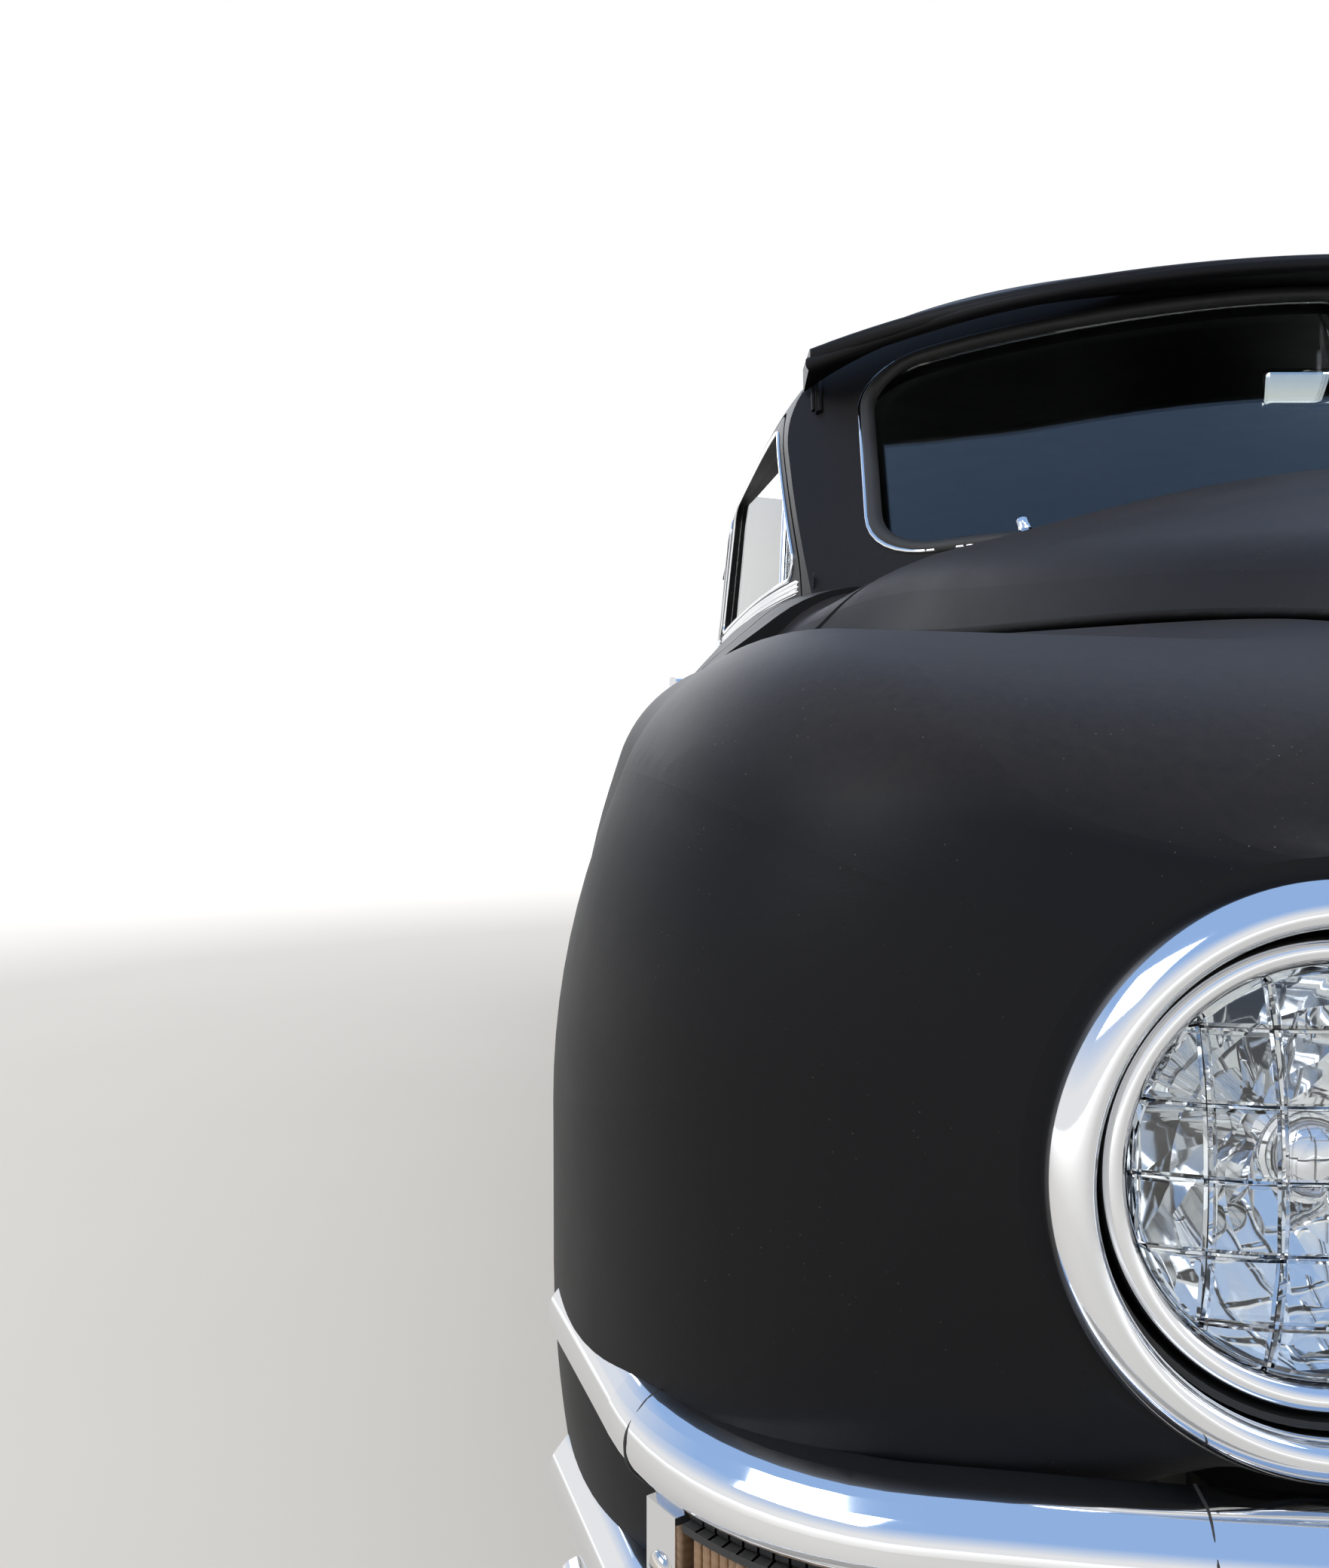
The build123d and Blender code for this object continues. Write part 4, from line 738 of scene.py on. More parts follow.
# Drip rail over the doors and down the windshield pillar
DRIP_RAIL = [
    (-0.945, 1.415), (-0.9, 1.475), (-0.84, 1.528), (-0.72, 1.548), (-0.4, 1.556),
    (-0.05, 1.558), (0.2, 1.545), (0.45, 1.5), (0.62, 1.43), (0.7, 1.36),
]
rail = [on_left(["body_shell", "door_left"], y, z)[0] + Vector((0.004, 0, 0)) for y, z in DRIP_RAIL]
both(weld([tube(rail, 0.0055), tube(rail, 0.003, (0.009, 0, 0.003))]), "drip_rail", SHELL, "body_paint")

# Door handles: rose plates on the skin and a push button
ROSE = [(0, 0), (0.021, 0), (0.021, 0.005), (0.017, 0.009), (0, 0.011)]
BUTTON = [(0, 0), (0.016, 0), (0.016, 0.007), (0.013, 0.011), (0.011, 0.0105), (0.011, 0.014), (0, 0.016)]
rose = [
    seated(on_left(["door_left"], y, 1.052), sunk, profile, 32)
    for y, sunk, profile in ((-0.15, 0.004, ROSE), (-0.04, 0.004, ROSE), (-0.008, 0.003, BUTTON))
]
both(weld(rose), "handle_plates", DOORS)

# Wiper spindles: knurled stubs through the cowl, with their arms off
SPINDLE = [(0, 0), (0.019, 0), (0.019, 0.005), (0.013, 0.011), (0.009, 0.017), (0, 0.017)]
KNURL = [(0, -0.004), (0.0065, -0.004), (0.0065, 0.012), (0.0045, 0.0145), (0, 0.0145)]
found = touch(["cowl"], (0.468, -1.33, 1.6), (0, 0, -1))
spot, facing = found
knurl = seated(found, -0.016, KNURL, 40)
for vertex in knurl.data.vertices:
    away = vertex.co - spot
    away -= facing * away.dot(facing)
    if away.length > 0.005:
        ridge = int(atan2(away.y, away.x) / (pi / 20) + 40) % 2
        vertex.co += away.normalized() * (0.0005 if ridge else -0.0005)
both(weld([seated(found, 0.003, SPINDLE, 32), knurl]), "wiper_spindle", SHELL)

# Visor over the windshield: its rolled front edge and a centre support
VISOR_Z, VISOR_DROP, VISOR_END_X = 1.54, 0.066, 0.69
edge = []
for x in (-0.69, -0.55, -0.4, -0.2, 0.0, 0.2, 0.4, 0.55, 0.69):
    height = VISOR_Z - VISOR_DROP * (abs(x) / VISOR_END_X) ** 2.1
    found = touch(["sun_visor"], (x, -2.0, height), BACK)
    if found:
        edge.append(found[0])
settle(tube(edge, 0.0105, (0, 0.004, 0)), "visor_rolled_edge", "body_paint", None, 60)
spot = touch(["sun_visor"], (0.006, -1.18, 1.3), UP)[0]
foot = on_shield(0.004)(0.0, 0.452)
centre_stay = weld([
    tube([spot, spot.lerp(foot, 0.5) + Vector((0, -0.006, 0)), foot], 0.0045),
    soft_block(foot, (0.034, 0.03, 0.008), 0.002, turn=(-0.9, 0, 0)),
    soft_block(spot + Vector((0, 0, -0.002)), (0.034, 0.04, 0.006), 0.002, turn=(0.15, 0, 0)),
])
settle(centre_stay, "visor_centre_stay")

# Lamps: smooth rims, a faceted reflector, and a shielded bulb in front of it
LAMP_RIM = [
    (0.121, -0.0002), (0.121, 0.005), (0.1202, 0.009), (0.1182, 0.0125), (0.1152, 0.0157), (0.1118, 0.0178),
    (0.108, 0.0187), (0.1045, 0.0178), (0.1023, 0.0155), (0.1012, 0.012), (0.101, 0.008), (0.101, -0.0002),
]
LAMP_RETAINER = [
    (0.096, -0.006), (0.0962, -0.002), (0.0955, 0.0005), (0.0935, 0.0026), (0.091, 0.0032), (0.0885, 0.0024),
    (0.0865, 0.0012), (0.085, -0.001), (0.084, -0.0035), (0.084, -0.008), (0.09, -0.008), (0.09, -0.038),
    (0.0982, -0.038), (0.0982, -0.034), (0.0954, -0.031),
]
REFLECTOR = [
    (0.0125, 0.0105), (0.034, 0.0145), (0.054, 0.0245), (0.07, 0.038), (0.0835, 0.052), (0.0885, 0.057),
]
BULB_SHIELD = [
    (0, 0), (0.0175, 0), (0.0195, 0.002), (0.0195, 0.006), (0.0175, 0.0065), (0.0165, 0.012), (0.012, 0.0165),
    (0.006, 0.0185), (0, 0.019),
]
BULB = [(0, 0), (0.012, 0), (0.012, 0.012), (0.007, 0.014), (0.0085, 0.024), (0.0075, 0.032), (0, 0.036)]
BULB_WIRE = ((0.013, 0.033), (0.015, 0.06), (0.009, 0.082))


def faceted(centre, steps=20):
    # The dish is pressed in flat facets, each set at its own small slant.
    dish = turned(centre, AHEAD, REFLECTOR, steps)
    for index, vertex in enumerate(dish.data.vertices):
        if (vertex.co - centre).length < 0.1:
            vertex.co.y += 0.0024 * sin(index * 2.4) + 0.0016 * sin(index * 5.1)
    return shape(dish, "SOLIDIFY", thickness=0.0006, offset=0)


rims = []
for side, sign in SIDES:
    lamp = Vector((sign * LAMP_X, LAMP_Y, LAMP_Z))
    rims += [turned(lamp, AHEAD, ring, 144) for ring in (LAMP_RIM, LAMP_RETAINER)]
    dish = faceted(lamp + Vector((0, 0.095, 0)))
    settle(dish, "reflector_facets_" + side, "reflector", silvered, 4)
    shield = weld([
        turned(lamp + Vector((0, 0.032, 0)), AHEAD, BULB_SHIELD, 48),
        turned(lamp + Vector((0, 0.084, 0)), AHEAD, BULB, 40),
        *(tube([(way * x, y, 0) for x, y in BULB_WIRE], 0.0013, lamp) for way in (-1, 1)),
    ])
    settle(shield, "bulb_shield_" + side, "chrome", None, 50)
rims = settle(weld(rims), "headlamp_rims", "chrome", None, 60)
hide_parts("headlamp_rings")


# Slotted screws hold the end blocks between the grille bars, a little rusty
def slotted_screw(centre, facing, radius):
    crown = [(radius * r, radius * rise) for r, rise in ((1, 0.12), (0.8, 0.36), (0.4, 0.5), (0, 0.54))]
    head = turned(centre, facing, [(0, -0.002), (radius, -0.002)] + crown, 40)
    size = (radius * 2.2, radius * 0.22, radius * 0.5)
    slot = block(centre + facing * radius * 0.55, size, facing_turn(facing))
    cut = shape(head, "BOOLEAN", operation="DIFFERENCE", object=slot, solver="EXACT")
    bpy.data.objects.remove(slot)
    return cut


rusty = plating("rusty_plating", (0.62, 0.6, 0.57), 6.0)
outward = Vector((0.823, -0.568, 0))
spot = touch(["grille_bars"], Vector((0.8999, -2.3371, 0.5725)) + outward * 0.1, -outward)[0]
both(slotted_screw(spot, outward, 0.0068), "end_block_screw", SHELL, "chrome", rusty)

# The bars' plan line, and the slot between them closed up to the end blocks
BAR_LINE = [(0, -2.44), (0.6, -2.44), (0.895, -2.392), (0.962, -2.18)]
BAR_SECTION = [
    (-0.038, -0.02), (-0.013, -0.022), (0, -0.009), (0.001, 0.006), (-0.013, 0.022), (-0.038, 0.02),
]
BAR_SHARES = [0.2, 0.7, 0.8, 0.8, 0.7, 0.2]
bar_line = rounded(BAR_LINE, [0, 0.9, 0.9, 0], 24)[9:-9]
bar_line = [Vector(BAR_LINE[0])] + bar_line + [Vector(BAR_LINE[-1])]


def bar_spot(distance, depth, z):
    # A place behind the bars' face line, and the way that line faces there
    left = distance
    for here, there in zip(bar_line, bar_line[1:]):
        length = (there - here).length
        if left <= length:
            break
        left -= length
    run = (there - here).normalized()
    out = Vector((run.y, -run.x, 0))
    flat = here + run * left
    return Vector((flat.x, flat.y, z)) - out * depth, out


def bar_blocks(first, pitch, count, depth, z, size):
    # Blocks side by side along the bars' line, each turned to face as the line does
    for index in range(count):
        spot, out = bar_spot(first + index * pitch, depth, z)
        yield block(spot, size, (0, 0, atan2(out.x, -out.y)))


ends = [
    soften(end, 0.0017, 4) for end in bar_blocks(0.88775, 0.0055, 5, 0.0148, 0.573, (0.0048, 0.009, 0.0405))
]
both(weld(ends), "lamp_flute_ends", SHELL, "amber_lens")
bezel = bar_blocks(0.702, 0.008, 27, 0.0132, 0.5955, (0.0088, 0.0135, 0.0034))
both(weld(list(bezel)), "lamp_bezel", SHELL, "hard_rubber", gasket_rubber)

# Each bar is made in lengths: a fine dark joint crosses it near the corner and inboard of the lamp
UPPER_BAR_Z, LOWER_BAR_Z = 0.617, 0.528
section = rounded(BAR_SECTION, BAR_SHARES, 5)
lines = [
    loop_bar(section, lambda ahead, up: bar_spot(distance, -ahead, height + up)[0], 0.0007, 0.02)
    for distance in (0.69, 0.952) for height in (UPPER_BAR_Z, LOWER_BAR_Z)
]
both(weld(lines), "bar_joints", SHELL, "hard_rubber", gasket_rubber)

# A spear, a narrow rib on a flat strip, runs along the fender, the door and the quarter panel
SPEAR = [(0, 0.02, 0.002), (0, 0.009, 0.0055)]
moulding("fender_spear", "front_fender_left", [(-1.5, 0.828), (-1.225, 0.826)], SHELL, SPEAR)
moulding("door_spear", "door_left", [(-1.098, 0.825), (0.03, 0.82)], DOORS, SPEAR)
moulding("quarter_spear", "body_shell", [(0.095, 0.82), (0.5, 0.815)], SHELL, SPEAR)

# Tyres with tread and sidewall rings; each wheel gets its valve, a ring round the disc and five nuts
TYRE_SECTION = [
    (-0.065, 0.2065), (-0.0735, 0.2105), (-0.079, 0.23), (-0.0832, 0.258), (-0.0842, 0.26), (-0.085, 0.264),
    (-0.084, 0.268), (-0.0852, 0.282), (-0.0815, 0.306), (-0.0826, 0.308), (-0.081, 0.311), (-0.0795, 0.312),
    (-0.0755, 0.327), (-0.07, 0.34), (-0.064, 0.347), (-0.056, 0.35),
    (-0.05, 0.3512), (-0.049, 0.344), (-0.045, 0.344), (-0.044, 0.3524),
    (-0.029, 0.3538), (-0.028, 0.3455), (-0.024, 0.3455), (-0.023, 0.3543),
    (-0.008, 0.355), (-0.007, 0.3465), (0.007, 0.3465), (0.008, 0.355),
]
TYRE_SECTION += [(-x, r) for x, r in reversed(TYRE_SECTION[:-2])]
TYRE_SECTION += [(0.055, 0.2085), (0.03, 0.235), (-0.03, 0.235), (-0.055, 0.2085)]
TREAD_STEPS = 144
DISC_RING = [(0.19, 0), (0.192, 0.0014), (0.194, 0), (0.192, -0.001)]
WHEEL_NUT = [(0, -0.004), (0.006, -0.004), (0.006, 0.003), (0.004, 0.005), (0, 0.0055)]
VALVE = ((0.018, 0.155), (0.034, 0.158), (0.044, 0.152))


def zigzag(tyre, centre):
    # The edges of the grooves step from side to side round the tread.
    for vertex in tyre.data.vertices:
        spot = vertex.co - centre
        radius = (spot.y ** 2 + spot.z ** 2) ** 0.5
        odd = round(atan2(spot.z, spot.y) / (2 * pi) * TREAD_STEPS) % 2
        if radius > 0.343 and abs(spot.x) < 0.0505:
            vertex.co.x += 0.0022 if odd else -0.0022
        elif odd and radius > 0.3465 and 0.0505 < abs(spot.x) < 0.06:
            vertex.co += Vector((0, spot.y, spot.z)).normalized() * -0.0025
    return tyre


for end, y in (("front_", FRONT_AXLE_Y), ("rear_", REAR_AXLE_Y)):
    for side, sign in SIDES:
        corner = end + side
        centre = Vector((sign * WHEEL_X, y, WHEEL_Z))
        tyre = turned((0, 0, 0), UP, [(r, x) for x, r in TYRE_SECTION], TREAD_STEPS)
        tyre.rotation_euler = (0, pi / 2, 0)
        tyre.location = centre
        bake_place(tyre)
        settle(zigzag(tyre, centre), "tyre_tread_" + corner, "tyre", body="wheel_" + corner)
        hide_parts("tyre_" + corner)
        out = (sign, 0, 0)
        fittings = [
            tube([(sign * x, rise, 0) for x, rise in VALVE], 0.003, centre),
            turned(centre + Vector((sign * 0.0635, 0, 0)), out, DISC_RING, 72),
        ]
        for turn in range(5):
            angle = radians(72 * turn + 20)
            spot = centre + Vector((sign * 0.0275, 0.133 * cos(angle), 0.133 * sin(angle)))
            fittings.append(turned(spot, out, WHEEL_NUT, 6))
        settle(weld(fittings), "wheel_fittings_" + corner, body="wheel_" + corner)

# Bumper guards and bolts
GUARD_Z = 0.46
BOLT = [(0, -0.002), (0.011, -0.002), (0.011, 0.001), (0.008, 0.0045), (0, 0.006)]
for name, face in (("front", -1), ("rear", 1)):
    y = face * 2.5535
    guards = []
    for x in (-0.33, 0.33):
        guard = block((x, y - face * 0.006, GUARD_Z), (0.05, 0.032, 0.19))
        for vertex in guard.data.vertices:
            if (vertex.co.y - y) * face > -0.004:
                vertex.co.x = x + (vertex.co.x - x) * 0.6
                vertex.co.z = GUARD_Z + (vertex.co.z - GUARD_Z) * 0.8
        guards.append(soften(guard, 0.009, 4, 20))
    settle(weld(guards), name + "_bumper_guards")
    bolts = []
    for x in (-0.41, -0.12, 0.12, 0.41):
        spot = touch([name + "_bumper"], (x, face * 3.0, 0.45), (0, -face, 0))[0]
        bolts.append(turned(spot, (0, face, 0), BOLT, 28))
    settle(weld(bolts), name + "_bumper_bolts")

# Rear window surround, tail lamp rims, trunk handle, filler lid and a bare plate over the bumper
REAR_WINDOW_AT = Vector((0, 1.11, 1.462))
REAR_WINDOW_OUT = Vector((0, 0.345, 0.938))
REAR_WINDOW_UP = Vector((0, 0.938, -0.345))


def on_tail(lift):
    def place(across, down):
        start = REAR_WINDOW_AT + Vector((across, 0, 0)) + REAR_WINDOW_UP * down + REAR_WINDOW_OUT * 0.3
        return touch(["body_shell"], start, -REAR_WINDOW_OUT)[0] + REAR_WINDOW_OUT * lift
    return place


rear_round = rounded([(-0.46, -0.165), (0.46, -0.165), (0.46, 0.165), (-0.46, 0.165)], [0.667] * 4)
surround("rear_window", rear_round, on_tail, (0.0035, -0.004, 0.009), (0.0115, 0.001, 0.0034))

TAIL_RIM = [(0.0482, 0), (0.0482, 0.02), (0.052, 0.023), (0.0565, 0.018), (0.0575, 0.004), (0.0575, 0)]
rims = [turned((x, 2.432, 0.59), BACK, TAIL_RIM, 48) for x in (-0.64, 0.64)]
settle(weld(rims), "tail_lamp_rims")

STEM = [(0, 0), (0.02, 0), (0.02, 0.004), (0.011, 0.01), (0.009, 0.026), (0, 0.027)]
found = touch(["trunk_lid"], (0, 2.36, 1.6), (0, -0.1, -1))
spot, facing = found
handle = weld([
    seated(found, 0.002, STEM, 32),
    soft_block(spot + facing * 0.029, (0.135, 0.022, 0.014), 0.0055, 4, facing_turn(facing)),
])
settle(handle, "trunk_handle", body="trunk_lid")

FILLER_LID = [(0, 0), (0.062, 0), (0.062, 0.0012), (0.058, 0.0028), (0.03, 0.0036), (0, 0.004)]
lid = seated(on_left(["body_shell"], 1.86, 0.83), 0.001, FILLER_LID, 56)
settle(lid, "filler_lid", "body_paint")

PLATE_Y, PLATE_Z = 2.532, 0.6
pressed_plate = enamel("bare_plate_enamel", (0.55, 0.55, 0.5), 0.35, 0.5)
plate = edit(
    block((0, PLATE_Y, PLATE_Z), (0.31, 0.0022, 0.155)),
    (bpy.ops.mesh.inset, {"thickness": 0.007, "depth": 0.0, "use_individual": True}),
    (bpy.ops.mesh.inset, {"thickness": 0.002, "depth": 0.0012, "use_individual": True}),
)
settle(soften(plate, 0.0006), "rear_plate", "wheel_paint", pressed_plate)
holders = [
    soft_block((x, PLATE_Y - 0.006, PLATE_Z - 0.052), (0.022, 0.008, 0.1), 0.002) for x in (-0.1, 0.1)
]
holders += [
    turned((x, PLATE_Y + 0.001, PLATE_Z + rise), BACK, [(0, 0), (0.006, 0), (0.005, 0.003), (0, 0.004)], 20)
    for x in (-0.1, 0.1) for rise in (-0.058, 0.058)
]
settle(weld(holders), "rear_plate_holders")

# Mirror, horn ring, gear lever, dials, pedals and mats in the cabin
shell = soften(soften(block((0, -1.125, 1.4), (0.205, 0.022, 0.056)), 0.014, 5, 20), 0.003)
stem = tube([(0, -1.118, 1.41), (0, -1.098, 1.47), (0, -1.07, 1.52), (0, -1.062, 1.535)], 0.0055)
settle(weld([shell, stem]), "mirror_shell")
mirror = soft_block((0, -1.1128, 1.4), (0.189, 0.0022, 0.044), 0.0009, 3)
settle(mirror, "mirror_glass", "reflector", silvered)

STEER_AXIS = Vector((0, 0.8793, 0.4763))
STEER_AT = Vector((0.37, -0.79, 0.985)) + STEER_AXIS * 0.03
HORN_R = 0.118
HORN_BUTTON = [(0, -0.004), (0.033, -0.004), (0.034, 0.006), (0.029, 0.0125), (0.018, 0.016), (0, 0.0175)]


def round_wheel(angle):
    # A direction in the steering wheel's plane
    across = Vector((1, 0, 0))
    return across * cos(angle) + STEER_AXIS.cross(across) * sin(angle)


horn = [tube([round_wheel(step * pi / 12) * HORN_R for step in range(24)], 0.0042, STEER_AT, closed=True)]
for angle in (90, 210, 330):
    way = round_wheel(radians(angle))
    horn.append(tube([way * 0.02, way * 0.07 + STEER_AXIS * 0.003, way * HORN_R], 0.0036, STEER_AT))
horn.append(turned(STEER_AT - STEER_AXIS * 0.004, STEER_AXIS, HORN_BUTTON, 48))
settle(weld(horn), "horn_ring", body="steering_wheel")

LEVER_AT, LEVER_END = Vector((0.37, -0.86, 0.947)), (-0.2, 0.03, 0.05)
GEAR_KNOB = [(0, -0.006), (0.008, -0.006), (0.0125, 0.004), (0.0135, 0.012), (0.0105, 0.021), (0, 0.025)]
lever = tube([(-0.015, 0, 0), (-0.09, 0.012, 0.02), LEVER_END], 0.0055, LEVER_AT)
settle(lever, "gear_lever")
knob = turned(LEVER_AT + Vector(LEVER_END), (-0.95, 0.15, 0.27), GEAR_KNOB, 32)
settle(knob, "gear_knob", "hard_rubber")


def on_dash(x, z):
    return touch(["dashboard"], (x, -0.7, z), AHEAD)


DASH_KNOB = [
    (0, 0), (0.006, 0), (0.006, 0.012), (0.012, 0.014), (0.0125, 0.022), (0.009, 0.026), (0, 0.026),
]
dial_face = enamel("dial_face", (0.075, 0.07, 0.06), 0.3, 0.1)
brightwork, faces = [], []
for x, size in ((0.37, 0.062), (0.235, 0.036), (0.505, 0.036)):
    found = on_dash(x, 0.965)
    spot, facing = found
    rim, inner = size + 0.004, size - 0.003
    brightwork.append(seated(
        found, 0.002, [(size - 0.004, 0), (rim, 0), (rim, 0.005), (size, 0.0105), (size - 0.005, 0.006)], 56,
    ))
    faces.append(seated(found, 0.002, [(0, 0), (inner, 0), (inner, 0.0035), (0, 0.0035)], 48))
    pointer_at = spot + facing * 0.004 + Vector((0.006, 0, size * 0.28))
    brightwork.append(soft_block(pointer_at, (0.0022, 0.0012, size * 0.72), 0.0004, turn=(0, 0.3, 0)))
    for tick in range(9):
        angle = radians(-30 + tick * 30)
        tick_at = spot + facing * 0.002 + Vector((cos(angle), 0, sin(angle))) * (size - 0.011)
        brightwork.append(soft_block(tick_at, (0.0075, 0.0012, 0.0018), 0.0003, turn=(0, -angle, 0)))
brightwork += [seated(on_dash(x, 0.925), 0.001, DASH_KNOB, 28) for x in (-0.12, -0.05, 0.02, 0.09)]
for step in range(9):
    slat = [on_dash(x, 0.968 + step * 0.007)[0] for x in (-0.12, -0.015, 0.09)]
    brightwork.append(tube(slat, 0.0018, (0, 0.001, 0)))
for z in (1.015, 0.895):
    strip = [on_dash(x, z)[0] for x in (-0.58, -0.2, 0.2, 0.58)]
    brightwork.append(tube(strip, 0.0032, (0, 0.002, 0)))
settle(weld(brightwork), "dash_brightwork")
settle(weld(faces), "dial_faces", "dash_paint", dial_face)

pedals = []
for x in (0.46, 0.36):
    pedals.append(soft_block((x, -1.075, 0.505), (0.062, 0.012, 0.07), 0.004, 3, (-0.55, 0, 0)))
    pedals.append(tube([(x, -1.083, 0.5), (x, -1.13, 0.44), (x, -1.15, 0.362)], 0.0065))
pedals.append(soft_block((0.245, -1.1, 0.45), (0.05, 0.012, 0.2), 0.004, 3, (-0.5, 0, 0)))
pedals.append(soft_block((0.245, -1.06, 0.365), (0.05, 0.03, 0.014), 0.003, 3))
settle(weld(pedals), "pedals", "hard_rubber")

for name, y_low, y_high, wide in (("front", -1.195, -0.58, 1.15), ("rear", -0.08, 0.545, 1.12)):
    y, long = (y_low + y_high) / 2, y_high - y_low
    mat = [soft_block((0, y, 0.3625), (wide, long, 0.006), 0.002)]
    for x in [0] + [-wide / 2 + index * 0.05 for index in range(1, int(wide / 0.05))]:
        mat.append(soft_block((x, y, 0.366), (0.006, long - 0.05, 0.004), 0.001))
    ribbed = rubber(name + "_mat_rubber", (0.014, 0.013, 0.012), 0.6)
    settle(weld(mat), name + "_floor_mat", "hard_rubber", ribbed)

# Door cards: a stuffed panel on each door's inner face, with its armrest, window crank and pull
card_cloth = Finish("door_card_cloth", sheen_weight=0.2, sheen_roughness=0.5)
card_slub = card_cloth.noise(60, 5, 0.7)
card_cloth.set(
    base_color=card_cloth.blend(card_slub, (0.075, 0.066, 0.056), (0.125, 0.112, 0.095)),
    roughness=0.8 + card_slub * 0.12,
    normal=card_cloth.bump(card_cloth.noise(900, 2) + card_slub, 0.0004, 0.6),
)
CARD_BACK, CARD_LONG, CARD_THICK = -1.03, 1.02, 0.009


def in_door(y, z):
    return touch(["door_left"], (INSIDE_X, y, z), (1, 0, 0))[0]


def inner_panel(z_low, z_high):
    card = fresh(bpy.ops.mesh.primitive_grid_add, x_subdivisions=28, y_subdivisions=16, size=1)
    for vertex in card.data.vertices:
        y = CARD_BACK + (vertex.co.x + 0.5) * CARD_LONG
        vertex.co = in_door(y, z_low + (vertex.co.y + 0.5) * (z_high - z_low))
    shape(card, "SOLIDIFY", thickness=2 * CARD_THICK, offset=0)
    return face_out(soften(card, CARD_THICK * 0.5, 3))


ESCUTCHEON = [(0, -0.002), (0.024, -0.002), (0.022, 0.004), (0.009, 0.009), (0.0085, 0.022), (0, 0.023)]
CRANK_KNOB = [(0, -0.006), (0.008, -0.004), (0.0095, 0.006), (0.008, 0.016), (0, 0.02)]
INWARD = (-1, 0, 0)
cards = weld([inner_panel(0.83, 1.06), inner_panel(0.45, 0.815)])
both(cards, "door_card", DOORS, "seat_cloth", card_cloth, 38)
rest = soft_block(in_door(-0.42, 0.8) + Vector((-0.032, 0, 0)), (0.06, 0.34, 0.055), 0.02, 5)
both(rest, "armrest", DOORS, "seat_cloth", card_cloth, 38)
fittings = []
for y, z, length, lean in ((-0.72, 0.87, 0.095, 0.5), (-0.25, 0.9, 0.07, 0.1)):
    spot = in_door(y, z) + Vector((-0.009, 0, 0))
    tip = spot + Vector((-0.022, length * cos(lean), -length * sin(lean)))
    fittings += [
        turned(spot, INWARD, ESCUTCHEON, 32),
        tube([spot + Vector((-0.017, 0, 0)), spot.lerp(tip, 0.5) + Vector((-0.012, 0, 0)), tip], 0.0052),
        turned(tip, INWARD, CRANK_KNOB, 24),
    ]
both(weld(fittings), "door_fittings", DOORS)


# Bench seats: stuffed cushions and backs with sewn channels
def stuffed(centre, size, lean):
    pad = block((0, 0, 0), size)
    soften(pad, min(size) * 0.32, 4, 20)
    pad.rotation_euler = (lean, 0, 0)
    pad.location = centre
    bake_place(pad)
    shape(pad, "REMESH", mode="VOXEL", voxel_size=0.019)
    start = [vertex.co.copy() for vertex in pad.data.vertices]
    only(pad)
    # The other pieces are hidden meanwhile, which keeps the simulation short.
    others = [piece for piece in bpy.context.scene.objects if piece != pad and not piece.hide_viewport]
    for piece in others:
        piece.hide_viewport = True
    cloth = pad.modifiers.new("cloth", "CLOTH")
    cloth.settings.use_pressure = True
    cloth.settings.uniform_pressure_force = 4
    cloth.settings.effector_weights.gravity = 0
    cloth.settings.quality = 3
    cloth.point_cache.frame_start = 1
    cloth.point_cache.frame_end = 20
    for step in range(1, 21):
        bpy.context.scene.frame_set(step)
    bpy.ops.object.modifier_apply(modifier="cloth")
    bpy.context.scene.frame_set(1)
    for piece in others:
        piece.hide_viewport = False
    for vertex, was in zip(pad.data.vertices, start):
        way = vertex.co - was
        if way.length > SWELL:
            vertex.co = was + way.normalized() * SWELL
    return pad


def channelled(pad, facing, reach):
    # Sewn channels run from front to back over the face that looks along facing.
    for vertex in pad.data.vertices:
        if vertex.normal.dot(facing) > 0.45:
            across = abs((vertex.co.x / CHANNEL_PITCH) % 1.0 - 0.5) * 2
            groove = max(0.0, 1 - (1 - across) / 0.16)
            edge = min(1.0, max(0.0, (reach - abs(vertex.co.x)) / 0.06))
            vertex.co -= facing * CHANNEL_DEPTH * groove * groove * edge


def bench_pad(name, centre, size, lean, facing):
    pad = stuffed(centre, size, lean)
    shape(pad, "SUBSURF", levels=1, render_levels=1)
    channelled(pad, facing, size[0] / 2 - 0.07)
    settle(pad, name, "seat_cloth", None, 70)
    return pad


SWELL, CHANNEL_PITCH, CHANNEL_DEPTH = 0.022, 0.085, 0.011
BENCHES = (
    ("front", ((0, -0.33, 0.53), (1.17, 0.46, 0.12), 0.1), ((0, -0.005, 0.79), (1.17, 0.085, 0.4), -0.27)),
    ("rear", ((0, 0.76, 0.655), (1.09, 0.36, 0.1), 0.17), ((0, 1.0, 0.86), (1.09, 0.085, 0.34), -0.42)),
)
for end, (seat_at, seat_size, tilt), (back_at, back_size, lean) in BENCHES:
    seat_up, back_front = Vector((0, -sin(tilt), cos(tilt))), Vector((0, -cos(lean), -sin(lean)))
    cushion = bench_pad(end + "_bench_cushion", seat_at, seat_size, tilt, seat_up)
    bench_pad(end + "_bench_back", back_at, back_size, lean, back_front)
    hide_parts(end + "_seat")
bases = [
    soft_block((0, -0.33, 0.4585), (1.18, 0.47, 0.018), 0.006, 3),
    soft_block((0, 0.018, 0.74), (1.17, 0.02, 0.52), 0.006, 3, (-0.24, 0, 0)),
]
settle(weld(bases), "front_bench_frame", "dash_paint")
